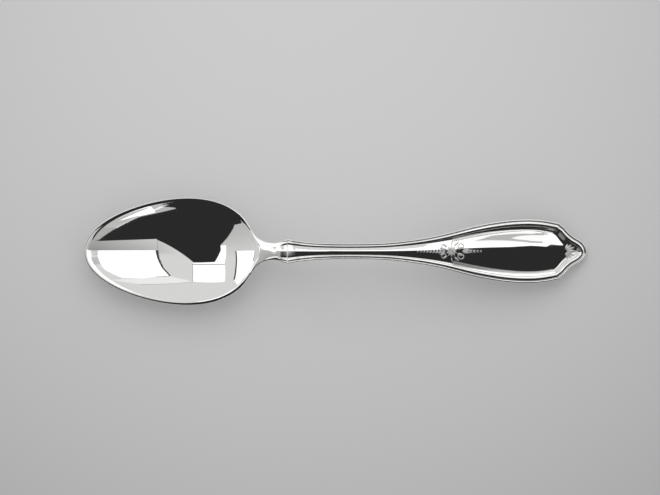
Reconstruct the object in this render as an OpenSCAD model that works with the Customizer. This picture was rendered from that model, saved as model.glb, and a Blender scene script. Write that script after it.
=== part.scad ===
// Teaspoon with a threaded handle, a floral spray and a pointed end.
// X runs along the spoon from the tip of the bowl to the end of the handle, Y across it and Z up.
// The origin lies on the table under the middle of the length. The spoon rests on the belly of
// its bowl and on the underside of its handle's end.
// The real spoon is one forging. Each module is one named region of it, cut off square to X, and
// the regions meet face to face. Every region samples the same upper and lower surface.

/* [Overall] */
// Length from the tip of the bowl to the end of the handle
spoon_l = 150; // [135:1:170]
// Height of the handle's edge at the top of its arch
arch_h = 15; // [13:0.1:17]

/* [Bowl] */
// Length of the bowl from its tip to the heel
bowl_l = 51.5; // [46:0.5:58]
// Width across the rim
bowl_w = 32; // [27:0.5:37]
// Depth of the hollow below the rim
bowl_depth = 7.2; // [5.5:0.1:8.5]
// Thickness of the metal at the bottom of the bowl
bowl_wall = 1.1; // [0.9:0.05:1.5]
// Width of the rim seen from above
rim_w = 0.9; // [0.6:0.05:1.3]
// Thickness of the rim at its outer edge
rim_t = 0.8; // [0.6:0.05:1.2]
// Rise of the rim from the middle of the bowl to its tip
tip_lift = 0.35; // [0:0.05:1]
// Rise of the rim from the middle of the bowl to the heel
heel_lift = 2.2; // [1.6:0.1:2.8]
// Reach of the soft corner between the hollow and the rim
hollow_soft = 0.5; // [0.3:0.05:0.8]
// Reach of that corner at the heel, where the hollow runs up into the neck
heel_blend = 2.4; // [1.8:0.1:3]
// Reach of the soft join between the stem's underside and the bowl's
heel_soft = 3; // [2:0.1:4]

/* [Neck] */
// Length from the heel of the bowl to the shoulder
neck_l = 9.2; // [8:0.1:11]
// Width at the narrowest place of the neck
neck_w = 5.7; // [5:0.1:6.6]
// Width across the shoulder
shoulder_w = 7.2; // [6.8:0.1:8.4]
// Rise of the neck's rounded back
neck_crown = 0.9; // [0.6:0.05:1.2]
// Height of the step across the shoulder
crest_h = 0.35; // [0.2:0.05:0.5]
// Length over which that step rises
crest_rise = 0.4; // [0.3:0.05:0.6]
// Length over which it dies away along the stem
crest_run = 5; // [4:0.5:7]

/* [Handle] */
// Width at the narrowest place of the stem
stem_w = 4.6; // [4.2:0.1:5.4]
// Width at the widest place of the handle
panel_w = 19; // [16:0.5:22]
// Length of the pointed end beyond the ears
end_l = 8.4; // [7.4:0.2:9.6]
// Thickness of the stem at its edge
stem_t = 1.9; // [1.6:0.05:2.3]
// Thickness of the wide part at its edge
panel_t = 1.3; // [1.1:0.05:1.6]
// Swell of the underside below the edge
belly_h = 0.45; // [0.3:0.05:0.7]

/* [Threaded border] */
// Width of the outer thread on the stem
stem_outer_w = 0.5; // [0.4:0.05:0.6]
// Width of the outer thread on the wide part
panel_outer_w = 0.65; // [0.5:0.05:0.8]
// Width of the inner thread on the stem
stem_inner_w = 0.75; // [0.6:0.05:0.9]
// Width of the inner thread on the wide part
panel_inner_w = 1.4; // [1.1:0.05:1.7]
// Height of the outer thread
outer_h = 0.25; // [0.15:0.05:0.35]
// Height of the inner thread
inner_h = 0.42; // [0.3:0.02:0.55]
// Length over which the threads rise out of the plain neck
thread_run = 3.5; // [2.5:0.25:5]

/* [Field] */
// Depth of the sunk field beside the inner thread, on the wide part
panel_sink = 0.85; // [0.6:0.05:1.1]
// Depth of it on the stem
stem_sink = 0.1; // [0:0.05:0.25]
// Rise of the crown over the sunk field, on the wide part
panel_crown = 1.25; // [0.9:0.05:1.6]
// Rise of it on the stem
stem_crown = 0.5; // [0.3:0.05:0.7]
// Reach of the soft valley between thread and crown
valley_soft = 0.45; // [0.3:0.05:0.7]

/* [Ornament] */
// Length of the longest husk leaf in the side rows
husk_l = 1.9; // [1.5:0.1:2.4]
// Length of the shortest one
husk_least_l = 0.8; // [0.6:0.1:1.1]
// Height of a husk leaf over the field
husk_h = 0.26; // [0.2:0.02:0.36]
// Distance of the rows from the inner thread, on the wide part
husk_bed_w = 1.15; // [0.9:0.05:1.4]
// Radius of the flower over its petals
flower_r = 1.7; // [1.4:0.1:2.1]
// Height of the flower's petals
petal_h = 0.32; // [0.24:0.02:0.44]
// Radius of the flower's button
button_r = 0.5; // [0.4:0.05:0.65]
// Length of the longest leaf of the spray
spray_leaf_l = 2.6; // [2.2:0.1:3.2]
// Radius of the scrolls beside the flower
scroll_r = 1.05; // [0.85:0.05:1.25]
// Length of the middle lobe of the palmette at the end
palmette_l = 3.2; // [2.6:0.1:3.8]
// Depth by which ornament is seated in the field
seat = 0.04; // [0.02:0.01:0.08]

/* [Smoothness] */
// Points along half of the bowl's outline
outline_n = 30; // [22:1:36]
// Rings over the hollow of the bowl
ring_n = 9; // [7:1:11]
// Distance between sections of the handle
section_step = 1.5; // [1.3:0.1:2.2]

/* [Hidden] */

// Places along X
tip_x = -spoon_l / 2;
end_x = spoon_l / 2;
heel_x = tip_x + bowl_l;
shoulder_x = heel_x + neck_l;
ear_x = end_x - end_l;
handle_l = ear_x - shoulder_x;

// The square of the bowl's half width grows along it by t (1 - t) (a + b t + c t t)
egg_shares = [2.83, 1.07, 1.95];
// The outline leaves the egg at this share of the neck's length before the heel
flare_share = 0.6;
// [place along the neck, width between the neck's and the bowl's where it leaves the egg]
flare_shares = [
    [-0.304, 0.63], [-0.19, 0.455], [-0.076, 0.275], [0.02, 0.165], [0.13, 0.09], [0.26, 0.03],
    [0.424, 0]
];
// [place along the neck, width between the neck's and the shoulder's]
shoulder_shares = [[0.74, 0.36], [1, 1]];
// [place along the handle, width between the stem's and the wide part's]
handle_shares = [
    [0.043, 0.1], [0.081, 0.051], [0.152, 0.01], [0.227, 0], [0.301, 0.01], [0.375, 0.049],
    [0.449, 0.143], [0.523, 0.276], [0.597, 0.467], [0.671, 0.686], [0.745, 0.857],
    [0.82, 0.968], [0.887, 1], [0.943, 0.957], [0.981, 0.885], [1, 0.842]
];
// [place along the pointed end, width as a share of the ears']
end_shares = [
    [0, 1], [0.07, 0.93], [0.13, 0.888], [0.2, 0.83], [0.27, 0.75], [0.345, 0.672],
    [0.42, 0.61], [0.5, 0.55], [0.58, 0.508], [0.7, 0.468], [0.85, 0.424], [1, 0.38]
];
// How blunt the nose is
nose_power = 5;
// [place along the bowl, share of tip_lift, share of heel_lift] for the height of the rim
rim_shares = [[0, 1, 0], [0.15, 0.4, 0], [0.35, 0, 0], [0.6, 0, 0.06], [0.8, 0, 0.38], [1, 0, 1]];
// [place from the heel to the end, height between the end's and the arch's]
arch_shares = [
    [0.04, 0.733], [0.093, 0.868], [0.137, 0.934], [0.2, 0.978], [0.3, 1], [0.421, 0.972],
    [0.523, 0.894], [0.624, 0.769], [0.726, 0.612], [0.827, 0.421], [0.909, 0.242],
    [0.959, 0.114], [1, -0.007]
];
// [place from the heel to the end, thickness between the wide part's and the stem's]
thick_shares = [[0, 0.6], [0.1, 1], [0.45, 1], [0.75, 0.1], [1, 0]];
// Share of the handle's length that the stem takes
stem_share = 0.45;
// Reach of the join at the rim, as a share of its reach at the heel
rim_reach_share = 0.1;
// Corner radius of an edge, as a share of its thickness
edge_round_share = 0.42;

rim_h = bowl_depth + bowl_wall;
end_h = panel_t + belly_h;

// Smooth step from 0 to 1
function ease(t) = let (u = min(max(t, 0), 1)) u * u * u * (10 - 15 * u + 6 * u * u);
function mix(a, b, t) = a + (b - a) * t;
// The lower of two heights, with the corner between them rounded over the reach k
function soft_min(a, b, k) = let (h = max(k - abs(a - b), 0) / k) min(a, b) - h * h * h * k / 6;
function soft_max(a, b, k) = -soft_min(-a, -b, k);

// Natural cubic spline through a table of [place, value]: gap and slope of each span, then the
// second derivatives by forward elimination and back substitution
function gap(p, i) = p[i + 1][0] - p[i][0];
function slope(p, i) = (p[i + 1][1] - p[i][1]) / gap(p, i);
function eliminate(p, i = 1, made = [[0, 0]]) =
    i > len(p) - 2 ? made
    : let (
        a = gap(p, i - 1),
        b = gap(p, i),
        q = 2 * (a + b) - a * made[i - 1][0],
        r = 6 * (slope(p, i) - slope(p, i - 1)) - a * made[i - 1][1]
    )
    eliminate(p, i + 1, concat(made, [[b / q, r / q]]));
function substitute(made, i, after) =
    i < 1 ? concat([0], after)
    : substitute(made, i - 1, concat([made[i][1] - made[i][0] * after[0]], after));
function bends(p) = substitute(eliminate(p), len(p) - 2, [0]);
function span(p, x, i = 0) = i >= len(p) - 2 || x < p[i + 1][0] ? i : span(p, x, i + 1);
function curve(p, m, x) =
    let (
        i = span(p, x),
        h = gap(p, i),
        b = (x - p[i][0]) / h,
        a = 1 - b
    )
    a * p[i][1] + b * p[i + 1][1] + ((a * a * a - a) * m[i] + (b * b * b - b) * m[i + 1]) * h * h / 6;

// Square of the half width of an egg that starts at x0
function egg_sq(x, x0, l, w) =
    let (t = (x - x0) / l)
    w * w / 4 * t * (1 - t) * (egg_shares[0] + egg_shares[1] * t + egg_shares[2] * t * t);
function bowl_sq(x) = egg_sq(x, tip_x, bowl_l, bowl_w);
function hollow_sq(x) = egg_sq(x, tip_x + rim_w, bowl_l - 2 * rim_w, bowl_w - 2 * rim_w);
function bowl_half(x) = sqrt(max(bowl_sq(x), 0));

// Outline of the neck, the handle and the pointed end
flare_x = heel_x - flare_share * neck_l;
flare_run = neck_l - flare_share * neck_l;
neck_line = concat(
    [for (x = [flare_x - flare_run, flare_x]) [x, bowl_half(x)]],
    [for (s = flare_shares) [heel_x + s[0] * neck_l, mix(neck_w / 2, bowl_half(flare_x), s[1])]],
    [for (s = shoulder_shares) [heel_x + s[0] * neck_l, mix(neck_w, shoulder_w, s[1]) / 2]]
);
handle_line = concat(
    [[shoulder_x, shoulder_w / 2]],
    [for (s = handle_shares) [shoulder_x + s[0] * handle_l, mix(stem_w, panel_w, s[1]) / 2]]
);
ear_half = handle_line[len(handle_line) - 1][1];
end_line = [for (s = end_shares) [ear_x + s[0] * end_l, s[1] * ear_half]];
neck_bends = bends(neck_line);
handle_bends = bends(handle_line);
end_bends = bends(end_line);
function nose(x) = sqrt(max(1 - pow(max((x - ear_x) / end_l, 0), nose_power), 0));
function half_w(x) =
    x < flare_x ? bowl_half(x)
    : x < shoulder_x
        ? mix(bowl_half(x), curve(neck_line, neck_bends, x), ease((x - flare_x) / flare_run))
    : x < ear_x ? curve(handle_line, handle_bends, x)
    : curve(end_line, end_bends, x) * nose(x);

// Height and thickness of the edge along the spoon
edge_line = concat(
    [
        for (s = rim_shares)
            [tip_x + s[0] * bowl_l, rim_h + s[1] * tip_lift + s[2] * heel_lift]
    ],
    [for (s = arch_shares) [mix(heel_x, end_x, s[0]), mix(end_h, arch_h, s[1])]]
);
edge_bends = bends(edge_line);
thick_line = [for (s = thick_shares) [mix(heel_x, end_x, s[0]), mix(panel_t, stem_t, s[1])]];
thick_bends = bends(thick_line);
function edge_z(x) = curve(edge_line, edge_bends, x);
function handle_t(x) = curve(thick_line, thick_bends, max(x, heel_x));
function edge_t(x) = mix(rim_t, handle_t(x), ease((x - flare_x) / (shoulder_x - flare_x)));

// Half of the outline as points from the tip to the nose, closer together at the rounded ends
outline_steps = 4 * outline_n;
function arc_places(a, b, n) = [for (i = [0:n]) mix(a, b, (1 - cos(180 * i / n)) / 2)];
function late_places(a, b, n) = [for (i = [0:n]) mix(a, b, sin(90 * i / n))];
outline = [
    for (
        x = concat(
            arc_places(tip_x, shoulder_x, outline_steps),
            [for (i = [1:outline_steps]) mix(shoulder_x, ear_x, i / outline_steps)],
            [for (i = [1:outline_n]) mix(ear_x, end_x, sin(90 * i / outline_n))]
        )
    )
        [x, half_w(x)]
];
function to_segment(q, a, b) =
    let (
        d = b - a,
        t = min(max((q - a) * d / (d * d), 0), 1)
    )
    norm(q - a - t * d);
// Distance from the outline to a point inside it, looking only at the outline near the point
function edge_distance(x, y) =
    let (
        q = [x, abs(y)],
        reach = max(half_w(x) - q[1], 0) + rim_w
    )
    min([
        reach,
        for (i = [0:len(outline) - 2])
            if (outline[i + 1][0] > x - reach && outline[i][0] < x + reach)
                to_segment(q, outline[i], outline[i + 1])
    ]);

// How far the handle has grown from stem, 0, to wide part, 1, and the border that goes with it
widest_share = 0.887;
widest_x = shoulder_x + widest_share * handle_l;
function full_half(x) = x < widest_x ? half_w(x) : panel_w / 2;
function growth(x) = min(max((2 * full_half(x) - stem_w) / (panel_w - stem_w), 0), 1);
function threaded(x) = ease((x - shoulder_x + thread_run) / thread_run);
function outer_w(x) = mix(stem_outer_w, panel_outer_w, growth(x));
function inner_w(x) = mix(stem_inner_w, panel_inner_w, growth(x));
function border_w(x) = outer_w(x) + inner_w(x);
// A rounded thread of width w and height h that starts at the distance e from the outline
function thread(d, e, w, h) =
    let (t = 2 * (d - e) / w - 1)
    abs(t) < 1 ? h * sqrt(1 - t * t) : 0;

// Distance from the outline along the handle's axis, as a table of [place, distance]
spine = [
    for (i = [0:outline_steps])
        let (x = mix(shoulder_x, end_x, i / outline_steps))
        [x, edge_distance(x, 0)]
];

// The field: a crown over a sunk ground, held in by the flank of the inner thread. The crown
// follows the outline and gets lower where the field narrows to a point before the nose
flank_share = 0.6;
soft_least_share = 0.5;
function field(x, y, d) =
    let (
        g = growth(x),
        e = d - border_w(x),
        half = max(full_half(x) - border_w(x), stem_inner_w),
        middle = min(max(lookup(x, spine) - border_w(x), stem_inner_w), half),
        away = 1 - min(e / middle, 1),
        crown = mix(stem_crown, panel_crown, g) * pow(middle / half, 2),
        ground = crown * (1 - away * away) - mix(stem_sink, panel_sink, g)
    )
    e < 0 ? 0 : soft_max(ground, -e * flank_share, valley_soft * mix(soft_least_share, 1, g));

// A quarter-round corner of radius r at the distance d from the outline
function corner(d, r) = d < r ? r - sqrt(max(r * r - (r - d) * (r - d), 0)) : 0;
function crest(x) =
    crest_h * ease((x - shoulder_x + crest_rise) / crest_rise) * (1 - ease((x - shoulder_x) / crest_run));

// Upper surface without the hollow: rounded rim, crowned neck, then threads and field
function upper(x, y) =
    let (
        d = edge_distance(x, y),
        on = threaded(x),
        w = max(half_w(x), seat),
        swell = neck_crown * ease((x - flare_x) / (shoulder_x - flare_x)),
        plain = swell * (1 - min(y * y / w / w, 1)),
        round = corner(d, edge_t(x) * edge_round_share),
        threads = on <= 0 ? 0
            : thread(d, 0, outer_w(x), outer_h)
                + thread(d, outer_w(x), inner_w(x), mix(outer_h, inner_h, growth(x)))
                + field(x, y, d)
    )
    edge_z(x) + crest(x) + mix(plain - round, threads, on);
function hollow(x, y) =
    edge_z(x) - bowl_depth * (hollow_sq(x) - y * y) / pow(bowl_w / 2 - rim_w, 2);
function hollow_reach(x, y) =
    let (at_heel = ease((x - flare_x) / flare_run) * ease(edge_distance(x, y) / heel_blend))
    mix(hollow_soft, heel_blend, at_heel);
function top_z(x, y) =
    x > shoulder_x ? upper(x, y) : soft_min(hollow(x, y), upper(x, y), hollow_reach(x, y));

// Lower surface: the bowl's outside and the handle's underside, which join softly at the heel
function bowl_outside(x, y) =
    edge_z(x) - rim_t
    - (bowl_depth + bowl_wall - rim_t) * (bowl_sq(x) - y * y) / pow(bowl_w / 2, 2);
function handle_under(x, y) =
    let (w = max(half_w(x), seat), u = min(y * y / w / w, 1))
    edge_z(x) - edge_t(x) - belly_h * (1 - u);
function low_z(x, y) =
    let (round = corner(edge_distance(x, y), edge_t(x) * edge_round_share))
    round
    + (x > shoulder_x ? handle_under(x, y)
        : soft_min(bowl_outside(x, y), handle_under(x, y), under_reach(x, y)));
// The soft join gets narrower towards the rim, where both surfaces run together
function under_reach(x, y) =
    heel_soft * mix(rim_reach_share, 1, ease(edge_distance(x, y) / heel_soft));

// The lowest point of the whole spoon, which stands on the table
sole_z = min([
    for (i = [0:outline_steps])
        let (x = mix(tip_x, end_x, (i + 1) / (outline_steps + 2)))
        low_z(x, 0)
]);

// Sections of the handle: places across it from the middle outwards, as shares of each band
crown_shares = [0, 0.25, 0.48, 0.66, 0.78, 0.86, 0.93];
inner_shares = [1, 0.88, 0.68, 0.45, 0.22, 0.06];
outer_shares = [1, 0.85, 0.5, 0.15, 0];
under_shares = [0, 0.35, 0.62, 0.82, 0.94, 1];
plain_shares = [0, 0.3, 0.55, 0.75, 0.9, 0.97, 1];
halvings = 9;
// Place across a section at the distance d from the outline, by halving the span [a, b]
function inset_place(x, d, a, b, i = 0) =
    let (y = (a + b) / 2)
    i > halvings ? y
    : edge_distance(x, y) > d ? inset_place(x, d, y, b, i + 1)
    : inset_place(x, d, a, y, i + 1);
// Near the nose the distances shrink, so that all of them fit before the axis
nose_fit_share = 0.97;
function threaded_places(x) =
    let (
        insets = concat(
            [for (s = inner_shares) outer_w(x) + s * inner_w(x)],
            [for (i = [1:len(outer_shares) - 2]) outer_shares[i] * outer_w(x)]
        ),
        n = len(insets),
        deep = edge_distance(x, 0),
        fit = [
            for (i = [0:n - 1])
                inset_place(x, min(insets[i], deep * nose_fit_share * (n - i) / n), 0, half_w(x))
        ]
    )
    concat([for (s = crown_shares) s * fit[0]], fit, [half_w(x)]);
function share_places(x, shares) = [for (s = shares) s * half_w(x)];
function mirrored(p) = concat([for (i = [len(p) - 1:-1:1]) -p[i]], p);
function section(x, tops, lows) =
    let (t = mirrored(tops), b = mirrored(lows))
    concat(
        [for (y = t) [x, y, top_z(x, y) - sole_z]],
        [for (i = [len(b) - 1:-1:0]) [x, b[i], low_z(x, b[i]) - sole_z]]
    );
function threaded_section(x) = section(x, threaded_places(x), share_places(x, under_shares));
function plain_section(x) = section(x, share_places(x, plain_shares), share_places(x, plain_shares));

// Closed solid through equal sections, with flat ends
module loft(sections) {
    n = len(sections[0]);
    last = len(sections) - 1;
    points = [for (s = sections) each s];
    sides = [
        for (i = [0:last - 1], j = [0:n - 1])
            let (
                a = i * n + j,
                b = i * n + (j + 1) % n
            )
            each [[a, b, a + n], [b, b + n, a + n]]
    ];
    near = [[for (j = [n - 1:-1:0]) j]];
    far = [[for (j = [0:n - 1]) last * n + j]];
    polyhedron(points, concat(sides, near, far), convexity = 6);
}

function even_places(a, b, apart = section_step) =
    let (n = ceil((b - a) / apart))
    [for (i = [0:n]) mix(a, b, i / n)];
function after(places) = [for (i = [1:len(places) - 1]) places[i]];
// Sections stand closer together round the curves of the neck and the ears
close_share = 0.5;
wide_share = 1.4;

// Where the regions meet: just behind the heel, around the shoulder, where the stem widens, and
// at the ears
neck_share = 0.1;
collar_share = 0.24;
cut_x = heel_x + neck_share * neck_l;
collar_from_x = shoulder_x - collar_share * neck_l;
collar_to_x = shoulder_x + collar_share * neck_l;
stem_to_x = mix(shoulder_x, ear_x, stem_share);

// Bowl: rings from the middle of the hollow out to the rim, round it and back under the belly
bowl_middle_share = 0.58;
bowl_middle_x = tip_x + bowl_middle_share * bowl_l;
// Below 1 draws the rings together towards the rim
ring_power = 0.85;
// Distance of a ring from the outline, as shares of the rim's corner radius
corner_shares = [2.6, 1.6, 1, 0.55, 0.2, 0];
low_corner_shares = [0, 0.3, 1, 2.4];
module bowl() {
    side = [for (x = arc_places(tip_x, cut_x, outline_n)) [x, half_w(x)]];
    cut = [for (y = mirrored(share_places(cut_x, plain_shares))) [cut_x, -y]];
    back = [for (i = [len(side) - 2:-1:1]) [side[i][0], -side[i][1]]];
    border = concat(side, [for (i = [1:len(cut) - 1]) cut[i]], back);
    middle = [bowl_middle_x, 0];
    radius = rim_t * edge_round_share;
    function spoke(p, inset) = middle + (p - middle) * (1 - inset / norm(p - middle));
    function ring(inset, share) = [
        for (p = border) middle + (spoke(p, inset) - middle) * share
    ];
    deep = corner_shares[0] * radius;
    low_deep = low_corner_shares[len(low_corner_shares) - 1] * radius;
    tops = concat(
        [for (i = [1:ring_n]) ring(deep, pow(i / (ring_n + 1), ring_power))],
        [for (s = corner_shares) ring(s * radius, 1)]
    );
    lows = concat(
        [for (s = low_corner_shares) ring(s * radius, 1)],
        [for (i = [ring_n:-1:1]) ring(low_deep, pow(i / (ring_n + 1), ring_power))]
    );
    n = len(border);
    rings = len(tops) + len(lows);
    points = concat(
        [for (r = tops, q = r) [q[0], q[1], top_z(q[0], q[1]) - sole_z]],
        [for (r = lows, q = r) [q[0], q[1], low_z(q[0], q[1]) - sole_z]],
        [
            [middle[0], 0, top_z(middle[0], 0) - sole_z],
            [middle[0], 0, low_z(middle[0], 0) - sole_z]
        ]
    );
    walls = [
        for (i = [0:rings - 2], j = [0:n - 1])
            let (
                a = i * n + j,
                b = i * n + (j + 1) % n
            )
            each [[a, b, a + n], [b, b + n, a + n]]
    ];
    lids = [
        for (j = [0:n - 1])
            let (k = (j + 1) % n)
            each [[rings * n, k, j], [rings * n + 1, (rings - 1) * n + j, (rings - 1) * n + k]]
    ];
    color("silver")
    polyhedron(points, concat(walls, lids), convexity = 6);
}

// Neck: plain and crowned, from the heel to the collar
module neck() {
    color("silver")
    loft([for (x = even_places(cut_x, collar_from_x, section_step * close_share)) plain_section(x)]);
}

// Shoulder: the widening with the step across it, where the threads begin
module shoulder() {
    color("gainsboro")
    loft([
        for (
            x = concat(
                even_places(collar_from_x, shoulder_x - crest_rise, section_step * close_share),
                [shoulder_x - crest_rise / 2, shoulder_x],
                after(even_places(shoulder_x, collar_to_x, section_step * close_share))
            )
        )
            threaded_section(x)
    ]);
}

// Stem: the narrow part of the handle between two threaded edges
module stem() {
    color("silver")
    loft([for (x = even_places(collar_to_x, stem_to_x, section_step * wide_share)) threaded_section(x)]);
}

// Handle panel: the wide part, with a crowned field inside the two threads
module handle_panel() {
    color("gainsboro")
    loft([
        for (
            x = concat(
                even_places(stem_to_x, widest_x),
                after(even_places(widest_x, ear_x, section_step * close_share))
            )
        )
            threaded_section(x)
    ]);
}

// Terminal: the pointed end beyond the ears, where the threads sweep in to the nose
nose_stop_share = 0.998;
terminal_n = 16;
module terminal() {
    color("silver")
    loft([
        for (x = late_places(ear_x, mix(ear_x, end_x, nose_stop_share), terminal_n))
            threaded_section(x)
    ]);
}

// Leaf lying on the spoon's upper surface: a pointed dome, from its foot at p along the angle a
leaf_n = 6;
leaf_middle_share = 0.45;
leaf_waist_share = 0.55;
leaf_waist_h_share = 0.8;
module leaf(p, a, l, w, h) {
    function on_leaf(u, v) = p + [cos(a), sin(a)] * (u * l) + [-sin(a), cos(a)] * (v * w / 2);
    function around(j, share) =
        let (
            c = cos(360 * j / leaf_n) * share,
            s = sin(360 * j / leaf_n) * share
        )
        on_leaf(leaf_middle_share + c * (c > 0 ? 1 - leaf_middle_share : leaf_middle_share), s);
    function lifted(q, z) = [q[0], q[1], top_z(q[0], q[1]) - sole_z + z];
    middle = on_leaf(leaf_middle_share, 0);
    foot = [for (j = [0:leaf_n - 1]) lifted(around(j, 1), -seat)];
    waist = [for (j = [0:leaf_n - 1]) lifted(around(j, leaf_waist_share), h * leaf_waist_h_share)];
    points = concat(foot, waist, [lifted(middle, h), lifted(middle, -seat)]);
    faces = [
        for (j = [0:leaf_n - 1])
            let (k = (j + 1) % leaf_n)
            each [
                [k, j, leaf_n + j],
                [k, leaf_n + j, leaf_n + k],
                [leaf_n + k, leaf_n + j, 2 * leaf_n],
                [j, k, 2 * leaf_n + 1]
            ]
    ];
    polyhedron(points, faces, convexity = 2);
}

// Side rows: husk leaves along the valley inside the inner thread, which turn and shrink towards
// the end
husk_from_share = 0.604;
husk_to_share = 0.972;
husk_n = 46;
husk_lean = 52;
husk_least_lean = 20;
husk_slim_share = 0.3;
husk_least_slim_share = 0.45;
husk_low_share = 0.6;
module husk_row(side) {
    from = mix(shoulder_x, ear_x, husk_from_share);
    to = mix(shoulder_x, ear_x, husk_to_share);
    for (i = [0:husk_n - 1]) {
        t = i / (husk_n - 1);
        x = mix(from, to, t);
        l = mix(husk_l, husk_least_l, t);
        w = l * mix(husk_slim_share, husk_least_slim_share, t);
        h = husk_h * mix(1, husk_low_share, t);
        run = atan2(half_w(x + seat) - half_w(x - seat), 2 * seat);
        a = run + mix(husk_lean, husk_least_lean, t);
        y = inset_place(x, border_w(x) + husk_bed_w * growth(x), 0, half_w(x));
        foot = [x - cos(a) * l / 2, side * (y - sin(a) * l / 2)];
        leaf(foot, side * a, l, w, h);
    }
}
module husk_row_left() {
    color("whitesmoke") husk_row(1);
}
module husk_row_right() {
    color("whitesmoke") husk_row(-1);
}

// Spray: a rosette with scrolls on both sides, leaves between them, a drop of husks towards the
// stem and a spike of buds towards the end
flower_share = 0.598;
petal_n = 10;
petal_slim_share = 0.42;
petal_in_share = 0.6;
button_h_share = 1.5;
low_share = 0.8;
spray_slim_share = 0.3;
// [foot along the spray and across it in flower radii, angle, length as a share of the longest]
spray_shares = [
    [0.95, 0.35, 22, 0.9], [0.5, 0.95, 48, 0.75], [-0.75, 0.75, 140, 0.7], [-1.05, 0.3, 160, 0.75],
    [2.1, 0.1, 12, 0.8], [0, 1.1, 84, 0.5]
];
// [middle along the spray and across it in flower radii, angle at the start, turn, size]
scroll_shares = [[1.75, 0.85, 190, -300, 1], [-1.45, 0.8, -20, 290, 0.8]];
scroll_n = 8;
scroll_in_share = 0.45;
scroll_bead_share = 0.9;
scroll_slim_share = 0.42;
drop_n = 9;
drop_shares = [0.8, 0.28];
drop_start_share = 1.1;
drop_pitch_share = 0.52;
spike_n = 6;
spike_shares = [0.75, 0.3];
spike_start_share = 1.9;
spike_pitch_share = 0.55;
spray_lean = 26;
module flower_spray() {
    flower_x = mix(shoulder_x, ear_x, flower_share);
    color("whitesmoke") {
        for (i = [0:petal_n - 1]) {
            a = 360 * (i + 0.5) / petal_n;
            in = button_r * petal_in_share;
            l = flower_r - in;
            leaf([flower_x + cos(a) * in, sin(a) * in], a, l, l * petal_slim_share, petal_h);
        }
        leaf([flower_x - button_r, 0], 0, 2 * button_r, 2 * button_r, petal_h * button_h_share);
        for (s = spray_shares, side = [-1, 1]) {
            l = s[3] * spray_leaf_l;
            foot = [flower_x + s[0] * flower_r, side * s[1] * flower_r];
            leaf(foot, side * s[2], l, l * spray_slim_share, petal_h * low_share);
        }
        for (s = scroll_shares, side = [-1, 1], i = [0:scroll_n - 1]) {
            t = i / (scroll_n - 1);
            a = s[2] + s[3] * t;
            r = s[4] * scroll_r * mix(1, scroll_in_share, t);
            l = s[4] * scroll_r * scroll_bead_share;
            at = [flower_x + s[0] * flower_r + r * cos(a), side * (s[1] * flower_r + r * sin(a))];
            way = side * (a + 90 * sign(s[3]));
            foot = at - [cos(way), sin(way)] * l / 2;
            leaf(foot, way, l, l * scroll_slim_share, petal_h * low_share);
        }
        for (i = [0:drop_n - 1], side = [-1, 1]) {
            l = mix(drop_shares[0], drop_shares[1], i / drop_n) * husk_l;
            x = flower_x - flower_r * drop_start_share - i * husk_l * drop_pitch_share;
            leaf([x, 0], 180 - side * spray_lean, l, l * husk_slim_share, petal_h * low_share);
        }
        for (i = [0:spike_n - 1], side = [-1, 1]) {
            l = mix(spike_shares[0], spike_shares[1], i / spike_n) * husk_l;
            x = flower_x + flower_r * spike_start_share + i * husk_l * spike_pitch_share;
            leaf([x, 0], side * spray_lean, l, l * husk_slim_share, petal_h * low_share);
        }
    }
}

// Palmette: lobes that fan out over the end of the field
palmette_foot_share = 0.21;
palmette_in_share = 0.15;
palmette_lobes = 7;
palmette_spread = 66;
palmette_slim_share = 0.26;
palmette_least_share = 0.6;
module end_palmette() {
    foot = [mix(ear_x, end_x, palmette_foot_share), 0];
    half = (palmette_lobes - 1) / 2;
    color("whitesmoke")
    for (i = [-half:half]) {
        a = i / half * palmette_spread;
        l = palmette_l * mix(1, palmette_least_share, abs(i) / half);
        in = palmette_l * palmette_in_share;
        leaf(foot + [cos(a), sin(a)] * in, a, l, palmette_l * palmette_slim_share, petal_h);
    }
}

bowl();
neck();
shoulder();
stem();
handle_panel();
terminal();
flower_spray();
husk_row_left();
husk_row_right();
end_palmette();
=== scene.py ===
"""Looks of the teaspoon: a mirror-polished forging with threaded edges and struck ornament.

The spoon's upper and lower surfaces are height functions over the table. Distances are in
millimetres while a surface is worked out, and in metres once it is a mesh. Each length of the
spoon is a closed piece of its own, and neighbours share the rows and normals where they meet.
"""

import logging
import math
from dataclasses import astuple, dataclass, field, replace
from enum import Enum

import bpy
import numpy as np
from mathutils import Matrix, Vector


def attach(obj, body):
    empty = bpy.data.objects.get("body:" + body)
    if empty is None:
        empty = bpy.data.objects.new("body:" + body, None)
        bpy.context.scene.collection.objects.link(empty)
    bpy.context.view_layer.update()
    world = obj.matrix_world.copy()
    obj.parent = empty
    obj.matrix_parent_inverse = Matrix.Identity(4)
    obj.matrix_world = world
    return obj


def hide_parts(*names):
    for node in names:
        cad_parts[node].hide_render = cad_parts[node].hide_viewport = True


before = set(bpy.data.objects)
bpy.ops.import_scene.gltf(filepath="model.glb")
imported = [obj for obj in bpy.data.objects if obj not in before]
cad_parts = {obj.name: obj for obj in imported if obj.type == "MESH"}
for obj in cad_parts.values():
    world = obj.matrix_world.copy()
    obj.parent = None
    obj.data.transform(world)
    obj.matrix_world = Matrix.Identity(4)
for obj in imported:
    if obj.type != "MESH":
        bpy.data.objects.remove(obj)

logging.basicConfig(level=logging.INFO, format="%(message)s")
log = logging.getLogger("teaspoon")

MM = 0.001
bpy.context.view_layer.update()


# Sizes, in millimetres


@dataclass(frozen=True)
class Overall:
    """Where the spoon begins and ends, and the height of its arch."""

    arch: float = 15.0
    tip_x: float = -75.0
    end_x: float = 75.0


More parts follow.
